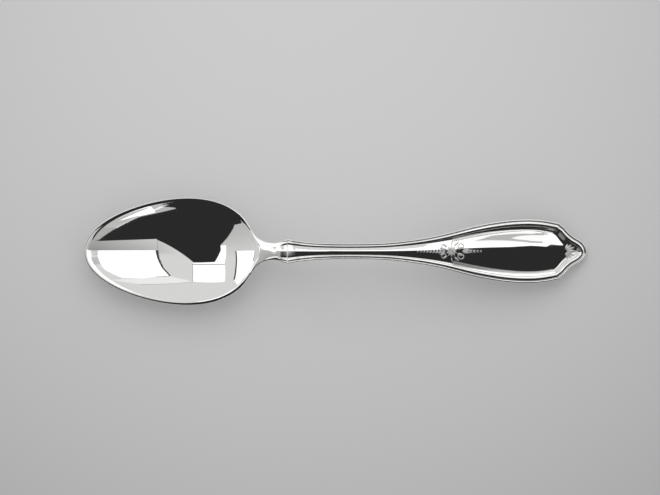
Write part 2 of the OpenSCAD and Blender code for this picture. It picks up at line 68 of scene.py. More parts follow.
@dataclass(frozen=True)
class BowlSizes:
    """The bowl: its plan, its depth and its rim."""

    length: float = 51.5
    width: float = 32.0
    depth: float = 7.2
    wall: float = 1.1
    rim_w: float = 0.9
    rim_t: float = 0.8
    tip_lift: float = 0.35
    heel_lift: float = 2.2
    soft: float = 0.5
    heel_blend: float = 2.4
    rim_reach: float = 0.1
    heel_soft: float = 3.0
    egg: tuple = (2.83, 1.07, 1.95)


@dataclass(frozen=True)
class NeckSizes:
    """The plain neck and the step across the shoulder.

    The cut, the look's own cut and the collar's reach to each side of the shoulder are shares of
    the neck's length.
    """

    length: float = 9.2
    width: float = 5.7
    shoulder_w: float = 7.2
    crown: float = 0.9
    crest_h: float = 0.35
    crest_rise: float = 0.4
    crest_run: float = 5.0
    flare: float = 0.6
    cut: float = 0.1
    look_cut: float = 0.22
    collar: float = 0.24


@dataclass(frozen=True)
class HandleSizes:
    """The stem, the wide part and the pointed end.

    The widest place and the stem's end are shares of the way from the shoulder to the ears.
    """

    stem_w: float = 4.6
    panel_w: float = 19.0
    end_l: float = 8.4
    stem_t: float = 1.9
    panel_t: float = 1.3
    belly: float = 0.45
    round_share: float = 0.42
    nose_power: float = 5.0
    widest: float = 0.887
    stem_end: float = 0.45


@dataclass(frozen=True)
class BorderSizes:
    """The two threads along the edges and the field inside them, as [stem, wide part].

    The polish is how far the crown's edge before the nose is rounded, as buffing leaves it.
    """

    outer_w: tuple = (0.5, 0.65)
    inner_w: tuple = (0.75, 1.4)
    outer_h: float = 0.25
    inner_h: float = 0.42
    run: float = 3.5
    sink: tuple = (0.1, 0.85)
    crown: tuple = (0.5, 1.25)
    valley: float = 0.45
    flank: float = 0.6
    polish: float = 1.8


@dataclass(frozen=True)
class OrnamentSizes:
    """The struck ornament. Places are shares of the way from the shoulder to the ears.

    Attributes:
        husk_run: where a husk row begins and ends.
        husk_l: lengths of its first and its last husk.
        husk_w: their widths, as shares of their lengths.
        husk_h: height of the first husk.
        husk_fade: height of the last one, as a share of the first one's.
        husk_turn: degrees between the outline and the first and the last husk.
        husk_bed: distance between the row and the threads where the handle is wide.
        flower_at: middle of the rosette.
        flower_r: its radius.
        petal_h: height of its petals.
        button_r: radius of its button.
        spray_l: length of a long leaf.
        scroll_r: radius of a scroll.
        palmette_at: foot of the palmette, as a share of the way from the ears to the end.
        palmette_l: length of its middle lobe.
        palmette_fan: degrees between its middle and its last lobe.
        seat: how far the ornament reaches into the field.
    """

    husk_run: tuple = (0.604, 0.972)
    husk_l: tuple = (1.9, 0.8)
    husk_w: tuple = (0.3, 0.45)
    husk_h: float = 0.26
    husk_fade: float = 0.6
    husk_turn: tuple = (52.0, 20.0)
    husk_bed: float = 1.15
    flower_at: float = 0.598
    flower_r: float = 1.7
    petal_h: float = 0.32
    button_r: float = 0.5
    spray_l: float = 2.6
    scroll_r: float = 1.05
    palmette_at: float = 0.21
    palmette_l: float = 3.2
    palmette_fan: float = 66.0
    seat: float = 0.04


class Side(Enum):
    """The spoon's two sides, seen from the bowl."""

    LEFT = "left"
    RIGHT = "right"


class Slot(Enum):
    """The record's material slots."""

    BODY = "silver_body"
    RELIEF = "silver_relief"


# Curves and blends

# A number or an array of them
Number = float | np.ndarray


def ease(t: np.ndarray) -> np.ndarray:
    """Rises from 0 to 1 with no slope or bend at either end."""
    u = np.clip(t, 0.0, 1.0)
    return u**3 * (10 - 15 * u + 6 * u * u)


def mix(a: Number, b: Number, t: Number) -> Number:
    """Goes from a to b as t goes from 0 to 1."""
    return a + (b - a) * t


def buffed(row: np.ndarray, reach: int) -> np.ndarray:
    """A row of heights with its corners rounded.

    Each height becomes the mean of those round it, with weights that fall evenly to none.

    Args:
        row: the heights.
        reach: how many places to each side count.
    Returns:
        the rounded heights.
    """
    weights = reach + 1.0 - np.abs(np.arange(-reach, reach + 1))
    return np.convolve(np.pad(row, reach, mode="edge"), weights / weights.sum(), "valid")


def soft_min(a: np.ndarray, b: np.ndarray, k: Number) -> np.ndarray:
    """The lower of two heights, with the corner between them rounded over the reach k."""
    h = np.maximum(k - np.abs(a - b), 0.0) / k
    return np.minimum(a, b) - h**3 * k / 6


def soft_max(a: np.ndarray, b: np.ndarray, k: float) -> np.ndarray:
    """The higher of two heights, with the corner between them rounded over the reach k."""
    return -soft_min(-a, -b, k)


def cosine_steps(n: int) -> np.ndarray:
    """n + 1 places from 0 to 1 that crowd towards both ends."""
    return (1 - np.cos(np.linspace(0, math.pi, n + 1))) / 2


class Spline:
    """Natural cubic spline through given [place, value] points."""

    def __init__(self, points: list) -> None:
        """Works out the bend at each point, with none at the two ends.

        Args:
            points: the points, in rising order of place.
        """
        p = np.asarray(points, float)
        self.x, self.y = p[:, 0], p[:, 1]
        n = len(self.x)
        gap = np.diff(self.x)
        slope = np.diff(self.y) / gap
        system = np.eye(n)
        rows = np.arange(1, n - 1)
        system[rows, rows - 1] = gap[:-1]
        system[rows, rows] = 2 * (gap[:-1] + gap[1:])
        system[rows, rows + 1] = gap[1:]
        right = np.zeros(n)
        right[1:-1] = 6 * np.diff(slope)
        self.bend = np.linalg.solve(system, right)

    def __call__(self, x: np.ndarray) -> np.ndarray:
        """The cubic between the two points round x.

        Args:
            x: places.
        Returns:
            the spline's values there.
        """
        x = np.asarray(x, float)
        i = np.clip(np.searchsorted(self.x, x, side="right") - 1, 0, len(self.x) - 2)
        gap = self.x[i + 1] - self.x[i]
        b = (x - self.x[i]) / gap
        a = 1 - b
        bent = (a**3 - a) * self.bend[i] + (b**3 - b) * self.bend[i + 1]
        return a * self.y[i] + b * self.y[i + 1] + bent * gap**2 / 6


# The spoon's form

# How finely its tables are worked out
SPINE_PLACES, SOLE_PLACES, HALVINGS = 481, 3000, 24
# The outline: places in the tip's round, step of the middle from its start, places in the end
TIP_PLACES, MIDDLE_X, MIDDLE_STEP, END_PLACES = 700, -40.0, 0.05, 400
# The search for the nearest outline point: each so many, then so many around, in blocks of points
COARSE, AROUND, BLOCK = 8, 10, 20000
# Half width that no share across goes below
THIN_HALF = 0.04


@dataclass
class Form:
    """Outline, heights and thicknesses of the whole spoon.

    The tables are the same few shares as the solid model's: places along a length of the
    spoon, and how far the width or the height has gone from one named size to the other.
    """

    overall: Overall = Overall()
    bowl: BowlSizes = BowlSizes()
    neck: NeckSizes = NeckSizes()
    handle: HandleSizes = HandleSizes()
    border: BorderSizes = BorderSizes()

    def __post_init__(self) -> None:
        """Works out the places along the spoon and its tables."""
        o, b, n, h = self.overall, self.bowl, self.neck, self.handle
        self.heel_x = o.tip_x + b.length
        self.shoulder_x = self.heel_x + n.length
        self.ear_x = o.end_x - h.end_l
        self.handle_l = self.ear_x - self.shoulder_x
        self.flare_run = n.length * (1 - n.flare)
        self.flare_x = self.heel_x - n.flare * n.length
        self.widest_x = self.shoulder_x + h.widest * self.handle_l
        self.cut_x = self.heel_x + n.cut * n.length
        self.look_cut_x = self.heel_x - n.look_cut * n.length
        reach = n.collar * n.length
        self.collar_x = self.shoulder_x - reach, self.shoulder_x + reach
        self.stem_to_x = mix(self.shoulder_x, self.ear_x, h.stem_end)
        self._curves()
        self._outline()
        places = np.linspace(self.shoulder_x, o.end_x, SPINE_PLACES)
        depth = self.distance(places, np.zeros_like(places))
        polish = round(self.border.polish / (places[1] - places[0]))
        self.spine = places, buffed(depth, polish)
        self.sole = 0.0
        self.sole = self._sole()

    def _curves(self) -> None:
        """Splines of the outline, the edge's height and its thickness."""
        o, b, n, h = self.overall, self.bowl, self.neck, self.handle
        at_flare = float(self.bowl_half(self.flare_x))
        flare = (
            (-0.304, 0.63), (-0.19, 0.455), (-0.076, 0.275), (0.02, 0.165), (0.13, 0.09),
            (0.26, 0.03), (0.424, 0.0),
        )
        neck = [
            [x, float(self.bowl_half(x))] for x in (self.flare_x - self.flare_run, self.flare_x)
        ]
        neck += [[self.heel_x + s * n.length, mix(n.width / 2, at_flare, v)] for s, v in flare]
        step = ((0.74, 0.36), (1.0, 1.0))
        neck += [
            [self.heel_x + s * n.length, mix(n.width, n.shoulder_w, v) / 2] for s, v in step
        ]
        widths = (
            (0.043, 0.1), (0.081, 0.051), (0.152, 0.01), (0.227, 0.0), (0.301, 0.01),
            (0.375, 0.049), (0.449, 0.143), (0.523, 0.276), (0.597, 0.467), (0.671, 0.686),
            (0.745, 0.857), (0.82, 0.968), (0.887, 1.0), (0.943, 0.957), (0.981, 0.885),
            (1.0, 0.842),
        )
        handle = [[self.shoulder_x, n.shoulder_w / 2]]
        handle += [
            [self.shoulder_x + s * self.handle_l, mix(h.stem_w, h.panel_w, v) / 2]
            for s, v in widths
        ]
        self.ear_half = handle[-1][1]
        point = (
            (0.0, 1.0), (0.07, 0.93), (0.13, 0.888), (0.2, 0.83), (0.27, 0.75), (0.345, 0.672),
            (0.42, 0.61), (0.5, 0.55), (0.58, 0.508), (0.7, 0.468), (0.85, 0.424), (1.0, 0.38),
        )
        end = [[self.ear_x + s * h.end_l, v * self.ear_half] for s, v in point]
        self.neck_w, self.handle_w, self.end_w = Spline(neck), Spline(handle), Spline(end)

        rim_h, end_h = b.depth + b.wall, h.panel_t + h.belly
        rim = (
            (0.0, 1.0, 0.0), (0.15, 0.4, 0.0), (0.35, 0.0, 0.0), (0.6, 0.0, 0.06),
            (0.8, 0.0, 0.38), (1.0, 0.0, 1.0),
        )
        arch = (
            (0.04, 0.733), (0.093, 0.868), (0.137, 0.934), (0.2, 0.978), (0.3, 1.0),
            (0.421, 0.972), (0.523, 0.894), (0.624, 0.769), (0.726, 0.612), (0.827, 0.421),
            (0.909, 0.242), (0.959, 0.114), (1.0, -0.007),
        )
        edge = [
            [o.tip_x + s * b.length, rim_h + t * b.tip_lift + u * b.heel_lift]
            for s, t, u in rim
        ]
        edge += [[mix(self.heel_x, o.end_x, s), mix(end_h, o.arch, v)] for s, v in arch]
        thick = ((0.0, 0.6), (0.1, 1.0), (0.45, 1.0), (0.75, 0.1), (1.0, 0.0))
        self.edge_z = Spline(edge)
        self.handle_t = Spline(
            [[mix(self.heel_x, o.end_x, s), mix(h.panel_t, h.stem_t, v)] for s, v in thick]
        )

    def _egg(self, x: np.ndarray, inset: float) -> np.ndarray:
        """Square of the half width of the bowl's egg: t (1 - t) times a square curve.

        Args:
            x: places along the spoon.
            inset: how far the egg is drawn in all round.
        Returns:
            the squares, below 0 beyond the egg's ends.
        """
        b = self.bowl
        t = (x - self.overall.tip_x - inset) / (b.length - 2 * inset)
        grow = b.egg[0] + b.egg[1] * t + b.egg[2] * t * t
        return (b.width / 2 - inset) ** 2 * t * (1 - t) * grow

    def bowl_half(self, x: np.ndarray) -> np.ndarray:
        """Half width of the bowl's egg."""
        return np.sqrt(np.maximum(self._egg(x, 0.0), 0.0))

    def half_w(self, x: np.ndarray) -> np.ndarray:
        """Half width: the bowl's egg, the neck's spline, the handle's, and the rounded nose.

        Args:
            x: places along the spoon.
        Returns:
            the half widths there.
        """
        x = np.asarray(x, float)
        u = np.maximum((x - self.ear_x) / self.handle.end_l, 0.0)
        nose = np.sqrt(np.maximum(1 - u**self.handle.nose_power, 0.0))
        egg = self.bowl_half(x)
        neck = mix(egg, self.neck_w(x), ease((x - self.flare_x) / self.flare_run))
        return np.select(
            [x < self.flare_x, x < self.shoulder_x, x < self.ear_x],
            [egg, neck, self.handle_w(x)],
            self.end_w(x) * nose,
        )

    def _outline(self) -> None:
        """Half of the outline from the tip to the nose, close together at the round ends."""
        o = self.overall
        places = np.concatenate(
            [
                mix(o.tip_x, MIDDLE_X, 1 - np.cos(np.linspace(0, math.pi / 2, TIP_PLACES))),
                np.arange(MIDDLE_X, self.ear_x, MIDDLE_STEP)[1:],
                mix(self.ear_x, o.end_x, np.sin(np.linspace(0, math.pi / 2, END_PLACES))),
            ]
        )
        self.outline = np.c_[places, self.half_w(places)]
        self.coarse = np.arange(0, len(self.outline), COARSE)

    def distance(self, x: np.ndarray, y: np.ndarray) -> np.ndarray:
        """Distance from the outline to points inside it.

        The nearest of every eighth outline point is found first, then the nearest segment
        around it, and last the foot of the perpendicular on that segment.

        Args:
            x, y: places in the plan.
        Returns:
            the distances, in the shape of x.
        """
        q = np.stack([np.ravel(x), np.abs(np.ravel(y))], axis=1)
        out = np.empty(len(q))
        line = self.outline
        around = np.arange(-AROUND, AROUND + 1)
        for start in range(0, len(q), BLOCK):
            p = q[start : start + BLOCK]
            gap = ((p[:, None, :] - line[self.coarse][None]) ** 2).sum(2)
            near = self.coarse[gap.argmin(1)][:, None] + around
            near = np.clip(near, 0, len(line) - 2)
            a, b = line[near], line[near + 1]
            along = b - a
            t = ((p[:, None, :] - a) * along).sum(2) / (along**2).sum(2)
            foot = a + along * np.clip(t, 0, 1)[..., None]
            out[start : start + BLOCK] = np.sqrt(((p[:, None, :] - foot) ** 2).sum(2).min(1))
        return out.reshape(np.shape(x))

    def edge_t(self, x: np.ndarray) -> np.ndarray:
        """Thickness of the metal at the edge."""
        t = (x - self.flare_x) / (self.shoulder_x - self.flare_x)
        return mix(self.bowl.rim_t, self.handle_t(np.maximum(x, self.heel_x)), ease(t))

    def full_half(self, x: np.ndarray) -> np.ndarray:
        """Half width that the border and the field go by, which stays full towards the nose."""
        return np.where(x < self.widest_x, self.half_w(x), self.handle.panel_w / 2)

    def growth(self, x: np.ndarray) -> np.ndarray:
        """How far the handle has grown from stem, 0, to wide part, 1."""
        h = self.handle
        return np.clip((2 * self.full_half(x) - h.stem_w) / (h.panel_w - h.stem_w), 0, 1)

    def threaded(self, x: np.ndarray) -> np.ndarray:
        """How far the threads have risen out of the plain neck."""
        return ease((x - self.shoulder_x + self.border.run) / self.border.run)

    def outer_w(self, x: np.ndarray) -> np.ndarray:
        """Width of the outer thread."""
        return mix(*self.border.outer_w, self.growth(x))

    def inner_w(self, x: np.ndarray) -> np.ndarray:
        """Width of the inner thread."""
        return mix(*self.border.inner_w, self.growth(x))

    def border_w(self, x: np.ndarray) -> np.ndarray:
        """Width of both threads."""
        return self.outer_w(x) + self.inner_w(x)

    def _field(self, x: np.ndarray, d: np.ndarray) -> np.ndarray:
        """Height of the field: a crown over a sunk ground, held in by the thread's flank.

        Args:
            x: places along the spoon.
            d: distances from the outline.
        Returns:
            heights over the edge, 0 under the threads.
        """
        b, g = self.border, self.growth(x)
        e = d - self.border_w(x)
        half = np.maximum(self.full_half(x) - self.border_w(x), b.inner_w[0])
        middle = np.interp(x, *self.spine) - self.border_w(x)
        middle = np.minimum(np.maximum(middle, b.inner_w[0]), half)
        away = 1 - np.minimum(e / middle, 1.0)
        crown = mix(*b.crown, g) * (middle / half) ** 2
        ground = crown * (1 - away**2) - mix(*b.sink, g)
        reach = b.valley * mix(0.5, 1.0, g)
        return np.where(e < 0, 0.0, soft_max(ground, -e * b.flank, reach))

    def upper(self, x: np.ndarray, y: np.ndarray, d: np.ndarray) -> np.ndarray:
        """Upper surface without the hollow of the bowl.

        It is the edge's height, the crest at the shoulder, and either the neck's swell with its
        rounded edge or the threads and the field.

        Args:
            x, y: places in the plan.
            d: distances from the outline.
        Returns:
            the heights.
        """
        n, b = self.neck, self.border
        on = self.threaded(x)
        w = np.maximum(self.half_w(x), THIN_HALF)
        swell = n.crown * ease((x - self.flare_x) / (self.shoulder_x - self.flare_x))
        plain = swell * (1 - np.minimum((y / w) ** 2, 1.0))
        outer_w, inner_w = self.outer_w(x), self.inner_w(x)
        inner_h = mix(b.outer_h, b.inner_h, self.growth(x))
        threads = (
            thread(d, 0.0, outer_w, b.outer_h)
            + thread(d, outer_w, inner_w, inner_h)
            + self._field(x, d)
        )
        rise = ease((x - self.shoulder_x + n.crest_rise) / n.crest_rise)
        crest = n.crest_h * rise * (1 - ease((x - self.shoulder_x) / n.crest_run))
        round_off = corner(d, self.edge_t(x) * self.handle.round_share)
        return self.edge_z(x) + crest + mix(plain - round_off, threads, on)

    def hollow(self, x: np.ndarray, y: np.ndarray) -> np.ndarray:
        """Surface of the bowl's hollow, carried on past its rim.

        It lies under the edge's height by the depth times how far the point is inside the egg.

        Args:
            x, y: places in the plan.
        Returns:
            the heights.
        """
        b = self.bowl
        f = (self._egg(x, b.rim_w) - y * y) / (b.width / 2 - b.rim_w) ** 2
        return self.edge_z(x) - b.depth * f

    def top(self, x: np.ndarray, y: np.ndarray, d: np.ndarray | None = None) -> np.ndarray:
        """Height of the upper surface over the table.

        Args:
            x, y: places in the plan.
            d: their distance from the outline, where it is known already.
        Returns:
            heights above the sole.
        """
        d = self.distance(x, y) if d is None else d
        b, high = self.bowl, self.upper(x, y, d)
        at_heel = ease((x - self.flare_x) / self.flare_run) * ease(d / b.heel_blend)
        dished = soft_min(self.hollow(x, y), high, mix(b.soft, b.heel_blend, at_heel))
        return np.where(x > self.shoulder_x, high, dished) - self.sole

    def low(self, x: np.ndarray, y: np.ndarray, d: np.ndarray | None = None) -> np.ndarray:
        """Height of the lower surface over the table.

        It is the bowl's belly joined to the handle's rounded back, less the corner at the edge.

        Args:
            x, y: places in the plan.
            d: their distance from the outline, where it is known already.
        Returns:
            heights above the sole.
        """
        d = self.distance(x, y) if d is None else d
        b, h = self.bowl, self.handle
        w = np.maximum(self.half_w(x), THIN_HALF)
        edge, t = self.edge_z(x), self.edge_t(x)
        under = edge - t - h.belly * (1 - np.minimum((y / w) ** 2, 1.0))
        f = (self._egg(x, 0.0) - y * y) / (b.width / 2) ** 2
        dish = edge - b.rim_t - (b.depth + b.wall - b.rim_t) * f
        reach = b.heel_soft * mix(b.rim_reach, 1.0, ease(d / b.heel_soft))
        joined = soft_min(dish, under, reach)
        base = np.where(x > self.shoulder_x, under, joined)
        return base + corner(d, t * h.round_share) - self.sole

    def _sole(self) -> float:
        """Height of the lowest point of the whole underside."""
        x = np.linspace(self.overall.tip_x, self.overall.end_x, SOLE_PLACES)[1:-1]
        return float(self.low(x, np.zeros_like(x)).min())

    def inset_y(self, x: np.ndarray, d: np.ndarray) -> np.ndarray:
        """Place across a section that lies at a distance from the outline, by halving.

        Args:
            x: places of the sections.
            d: the distances looked for.
        Returns:
            the places across.
        """
        low, high = np.zeros(np.shape(x)), self.half_w(x)
        for _ in range(HALVINGS):
            y = (low + high) / 2
            deeper = self.distance(x, y) > d
            low, high = np.where(deeper, y, low), np.where(deeper, high, y)
        return (low + high) / 2


def thread(d: np.ndarray, start: Number, w: np.ndarray, h: Number) -> np.ndarray:
    """A thread, half an ellipse of width w and height h, from a distance start onwards."""
    t = 2 * (d - start) / w - 1
    return np.where(np.abs(t) < 1, h * np.sqrt(np.maximum(1 - t * t, 0.0)), 0.0)


def corner(d: np.ndarray, r: np.ndarray) -> np.ndarray:
    """Drop of a quarter-round corner, a circle of radius r, at a distance from the outline."""
    return np.where(d < r, r - np.sqrt(np.maximum(r * r - (r - d) ** 2, 0.0)), 0.0)


# Meshes


def tangents(p: np.ndarray, axis: int, closed: bool = False) -> np.ndarray:
    """Direction of a grid's lines at each point, exact to second order for uneven steps.

    Args:
        p: grid of points, the last axis their coordinates.
        axis: the grid axis to go along.
        closed: whether the last point joins the first.
    Returns:
        one direction for each point.
    """
    p = np.moveaxis(p, axis, 0)
    if closed:
        p = np.concatenate([p[-1:], p, p[:1]])
    step = np.diff(p, axis=0)
    gap = np.maximum(np.linalg.norm(step, axis=-1, keepdims=True), 1e-9)
    slope = step / gap
    inner = (gap[:-1] * slope[1:] + gap[1:] * slope[:-1]) / (gap[:-1] + gap[1:])
    if not closed:
        first = 2 * slope[:1] - inner[:1]
        last = 2 * slope[-1:] - inner[-1:]
        inner = np.concatenate([first, inner, last])
    return np.moveaxis(inner, 0, axis)


def unit(v: np.ndarray) -> np.ndarray:
    """Vectors brought to length 1."""
    return v / np.maximum(np.linalg.norm(v, axis=-1, keepdims=True), 1e-12)


def grid_faces(rows: int, cols: int, closed: bool = False, start: int = 0) -> np.ndarray:
    """Quads of a grid whose points are numbered row by row.

    They face the way of (direction of the columns) x (direction of the rows).

    Args:
        rows, cols: how many rows and columns of points there are.
        closed: whether the last column joins the first.
        start: number of the first point.
    Returns:
        four point numbers for each quad.
    """
    i = np.arange(rows - 1)[:, None] * cols
    j = np.arange(cols if closed else cols - 1)[None]
    k = (j + 1) % cols
    quads = np.stack([i + j, i + cols + j, i + cols + k, i + k], axis=-1)
    return quads.reshape(-1, 4) + start


@dataclass
class Shell:
    """Points, faces and normals of one closed piece.

    Attributes:
        points: places in millimetres.
        faces: arrays of quads or triangles.
        normals: one normal per point for the round faces.
        flats: arrays of faces with one normal each, such as the cuts between neighbours.
        worn: how recessed each point is, from 0 to 1.
    """

    points: np.ndarray
    faces: list
    normals: np.ndarray
    flats: list = field(default_factory=list)
    worn: np.ndarray | None = None

    def to_mesh(self, name: str) -> bpy.types.Mesh:
        """Makes the mesh in metres, with its own split normals and its recess attribute.

        Args:
            name: the mesh's name.
        Returns:
            the mesh.
        """
        groups = list(self.faces) + [f for f, _ in self.flats]
        loops = np.concatenate([g.ravel() for g in groups])
        totals = np.concatenate([np.full(len(g), g.shape[1]) for g in groups])
        starts = np.concatenate([[0], np.cumsum(totals)[:-1]])
        mesh = bpy.data.meshes.new(name)
        mesh.vertices.add(len(self.points))
        mesh.vertices.foreach_set("co", (self.points * MM).astype(np.float32).ravel())
        mesh.loops.add(len(loops))
        mesh.loops.foreach_set("vertex_index", loops.astype(np.int32))
        mesh.polygons.add(len(totals))
        mesh.polygons.foreach_set("loop_start", starts.astype(np.int32))
        mesh.update(calc_edges=True)
        mesh.validate()
        mesh.polygons.foreach_set("use_smooth", np.ones(len(mesh.polygons), bool))
        corners = self.normals[loops].copy()
        at = sum(g.size for g in self.faces)
        for faces, normal in self.flats:
            corners[at : at + faces.size] = normal
            at += faces.size
        if len(mesh.loops) == len(corners):
            mesh.normals_split_custom_set(corners.astype(np.float32))
        worn = np.zeros(len(self.points)) if self.worn is None else self.worn
        layer = mesh.attributes.new("recess", "FLOAT", "POINT")
        layer.data.foreach_set("value", worn.astype(np.float32))
        return mesh


def outward(normals: np.ndarray, way: np.ndarray) -> np.ndarray:
    """Normals turned so that they point the given way on the whole."""
    return normals * np.where((normals * way).sum(-1, keepdims=True) < 0, -1.0, 1.0)


# Finishes

# What a node's input is given: another node's output, a number or a colour
Given = bpy.types.NodeSocket | float | tuple


def grey(value: float) -> tuple:
    """A neutral colour."""
    return (value, value, value, 1.0)


class Graph:
    """Short calls for building a node tree."""

    def __init__(self, tree: bpy.types.NodeTree) -> None:
        """Takes the tree that the nodes go into."""
        self.tree = tree

    def node(self, kind: str, **settings) -> bpy.types.Node:
        """Adds a node.

        Args:
            kind: its type.
            settings: the node's own settings, and what goes into the sockets of other names.
        Returns:
            the node.
        """
        made = self.tree.nodes.new(kind)
        for key, value in settings.items():
            if hasattr(made, key):
                setattr(made, key, value)
            else:
                self.put(made.inputs[key], value)
        return made

    def put(self, socket: bpy.types.NodeSocket, value: Given) -> None:
        """Joins a socket to another socket, or sets it to a constant.

        Args:
            socket: the input.
            value: what it is given.
        """
        if isinstance(value, bpy.types.NodeSocket):
            self.tree.links.new(value, socket)
        else:
            socket.default_value = value

    def _step(self, kind: str, operation: str, values: tuple) -> bpy.types.Node:
        """Adds a node of one operation.

        Args:
            kind: its type.
            operation: what it does.
            values: what its inputs are given, in order.
        Returns:
            the node.
        """
        made = self.node(kind, operation=operation)
        for socket, value in zip(made.inputs, values):
            self.put(socket, value)
        return made

    def math(
        self, operation: str, *values: Given, clamp: bool = False
    ) -> bpy.types.NodeSocket:
        """One arithmetic step.

        Args:
            operation: what it does.
            values: what it is given.
            clamp: whether the result is held between 0 and 1.
        Returns:
            the result.
        """
        made = self._step("ShaderNodeMath", operation, values)
        made.use_clamp = clamp
        return made.outputs[0]

    def vector(self, operation: str, *values: Given) -> bpy.types.Node:
        """One step with vectors."""
        return self._step("ShaderNodeVectorMath", operation, values)

    def blend(self, factor: Given, a: Given, b: Given) -> bpy.types.NodeSocket:
        """Blend of two colours.

        Args:
            factor: share of the second colour.
            a, b: the colours.
        Returns:
            the blended colour.
        """
        made = self.node("ShaderNodeMix", data_type="RGBA")
        self.put(made.inputs["Factor"], factor)
        self.put(made.inputs[6], a)
        self.put(made.inputs[7], b)
        return made.outputs[2]

    def step(self, value: Given, low: float, high: float) -> bpy.types.NodeSocket:
        """Smooth step of a value between two limits.

        Args:
            value: the value.
            low, high: where the result is 0 and where it is 1.
        Returns:
            the result.
        """
        made = self.node("ShaderNodeMapRange", interpolation_type="SMOOTHSTEP")
        self.put(made.inputs["Value"], value)
        self.put(made.inputs["From Min"], low)
        self.put(made.inputs["From Max"], high)
        return made.outputs["Result"]


def group_tree(name: str, inputs: tuple, outputs: tuple) -> tuple:
    """Starts a shader node group.

    Args:
        name: the group's name.
        inputs: (name, socket type, default) for each input.
        outputs: (name, socket type) for each output.
    Returns:
        its graph, its input node and its output node.
    """
    tree = bpy.data.node_groups.new(name, "ShaderNodeTree")
    for label, kind, value in inputs:
        socket = tree.interface.new_socket(name=label, in_out="INPUT", socket_type=kind)
        if value is not None:
            socket.default_value = value
    for label, kind in outputs:
        tree.interface.new_socket(name=label, in_out="OUTPUT", socket_type=kind)
    graph = Graph(tree)
    return graph, graph.node("NodeGroupInput"), graph.node("NodeGroupOutput")


@dataclass(frozen=True)
class Hairlines:
    """Hairline scratches of use: thin lines in three directions, each broken up by a mask.

    Attributes:
        turns: turn in radians and seed of each direction.
        squash: scale along the lines, where the scale across them is 1.
        line: noise values between which a line fades in.
        patch_scale: scale of the mask.
        patch: noise values between which the mask fades in.
    """

    turns: tuple = ((0.25, 3.0), (1.35, 11.0), (2.3, 23.0))
    squash: float = 0.03
    line: tuple = (0.66, 0.74)
    patch_scale: float = 60.0
    patch: tuple = (0.48, 0.62)

    def build(self) -> bpy.types.NodeTree:
        """Makes the node group.

        Returns:
            the group, with inputs Vector, Scale and Amount and outputs Height and Mask.
        """
        graph, given, made = group_tree(
            "Hairlines",
            (
                ("Vector", "NodeSocketVector", None),
                ("Scale", "NodeSocketFloat", 400.0),
                ("Amount", "NodeSocketFloat", 0.5),
            ),
            (("Height", "NodeSocketFloat"), ("Mask", "NodeSocketFloat")),
        )
        total = 0.0
        for turn, seed in self.turns:
            turned = graph.node(
                "ShaderNodeVectorRotate", Vector=given.outputs["Vector"], Angle=turn
            )
            scaled = graph.vector("MULTIPLY", turned.outputs[0], (self.squash, 1.0, 1.0))
            moved = graph.vector("ADD", scaled.outputs[0], (seed, seed, 0.0)).outputs[0]
            lines = graph.node("ShaderNodeTexNoise", Vector=moved, Detail=1.0)
            graph.put(lines.inputs["Scale"], given.outputs["Scale"])
            thin = graph.step(lines.outputs["Fac"], *self.line)
            patch = graph.node("ShaderNodeTexNoise", Vector=moved, Scale=self.patch_scale)
            kept = graph.math("MULTIPLY", thin, graph.step(patch.outputs["Fac"], *self.patch))
            total = graph.math("ADD", total, kept)
        mask = graph.math("MULTIPLY", total, given.outputs["Amount"], clamp=True)
        graph.put(made.inputs["Mask"], mask)
        graph.put(made.inputs["Height"], graph.math("MULTIPLY", mask, -1.0))
        return graph.tree


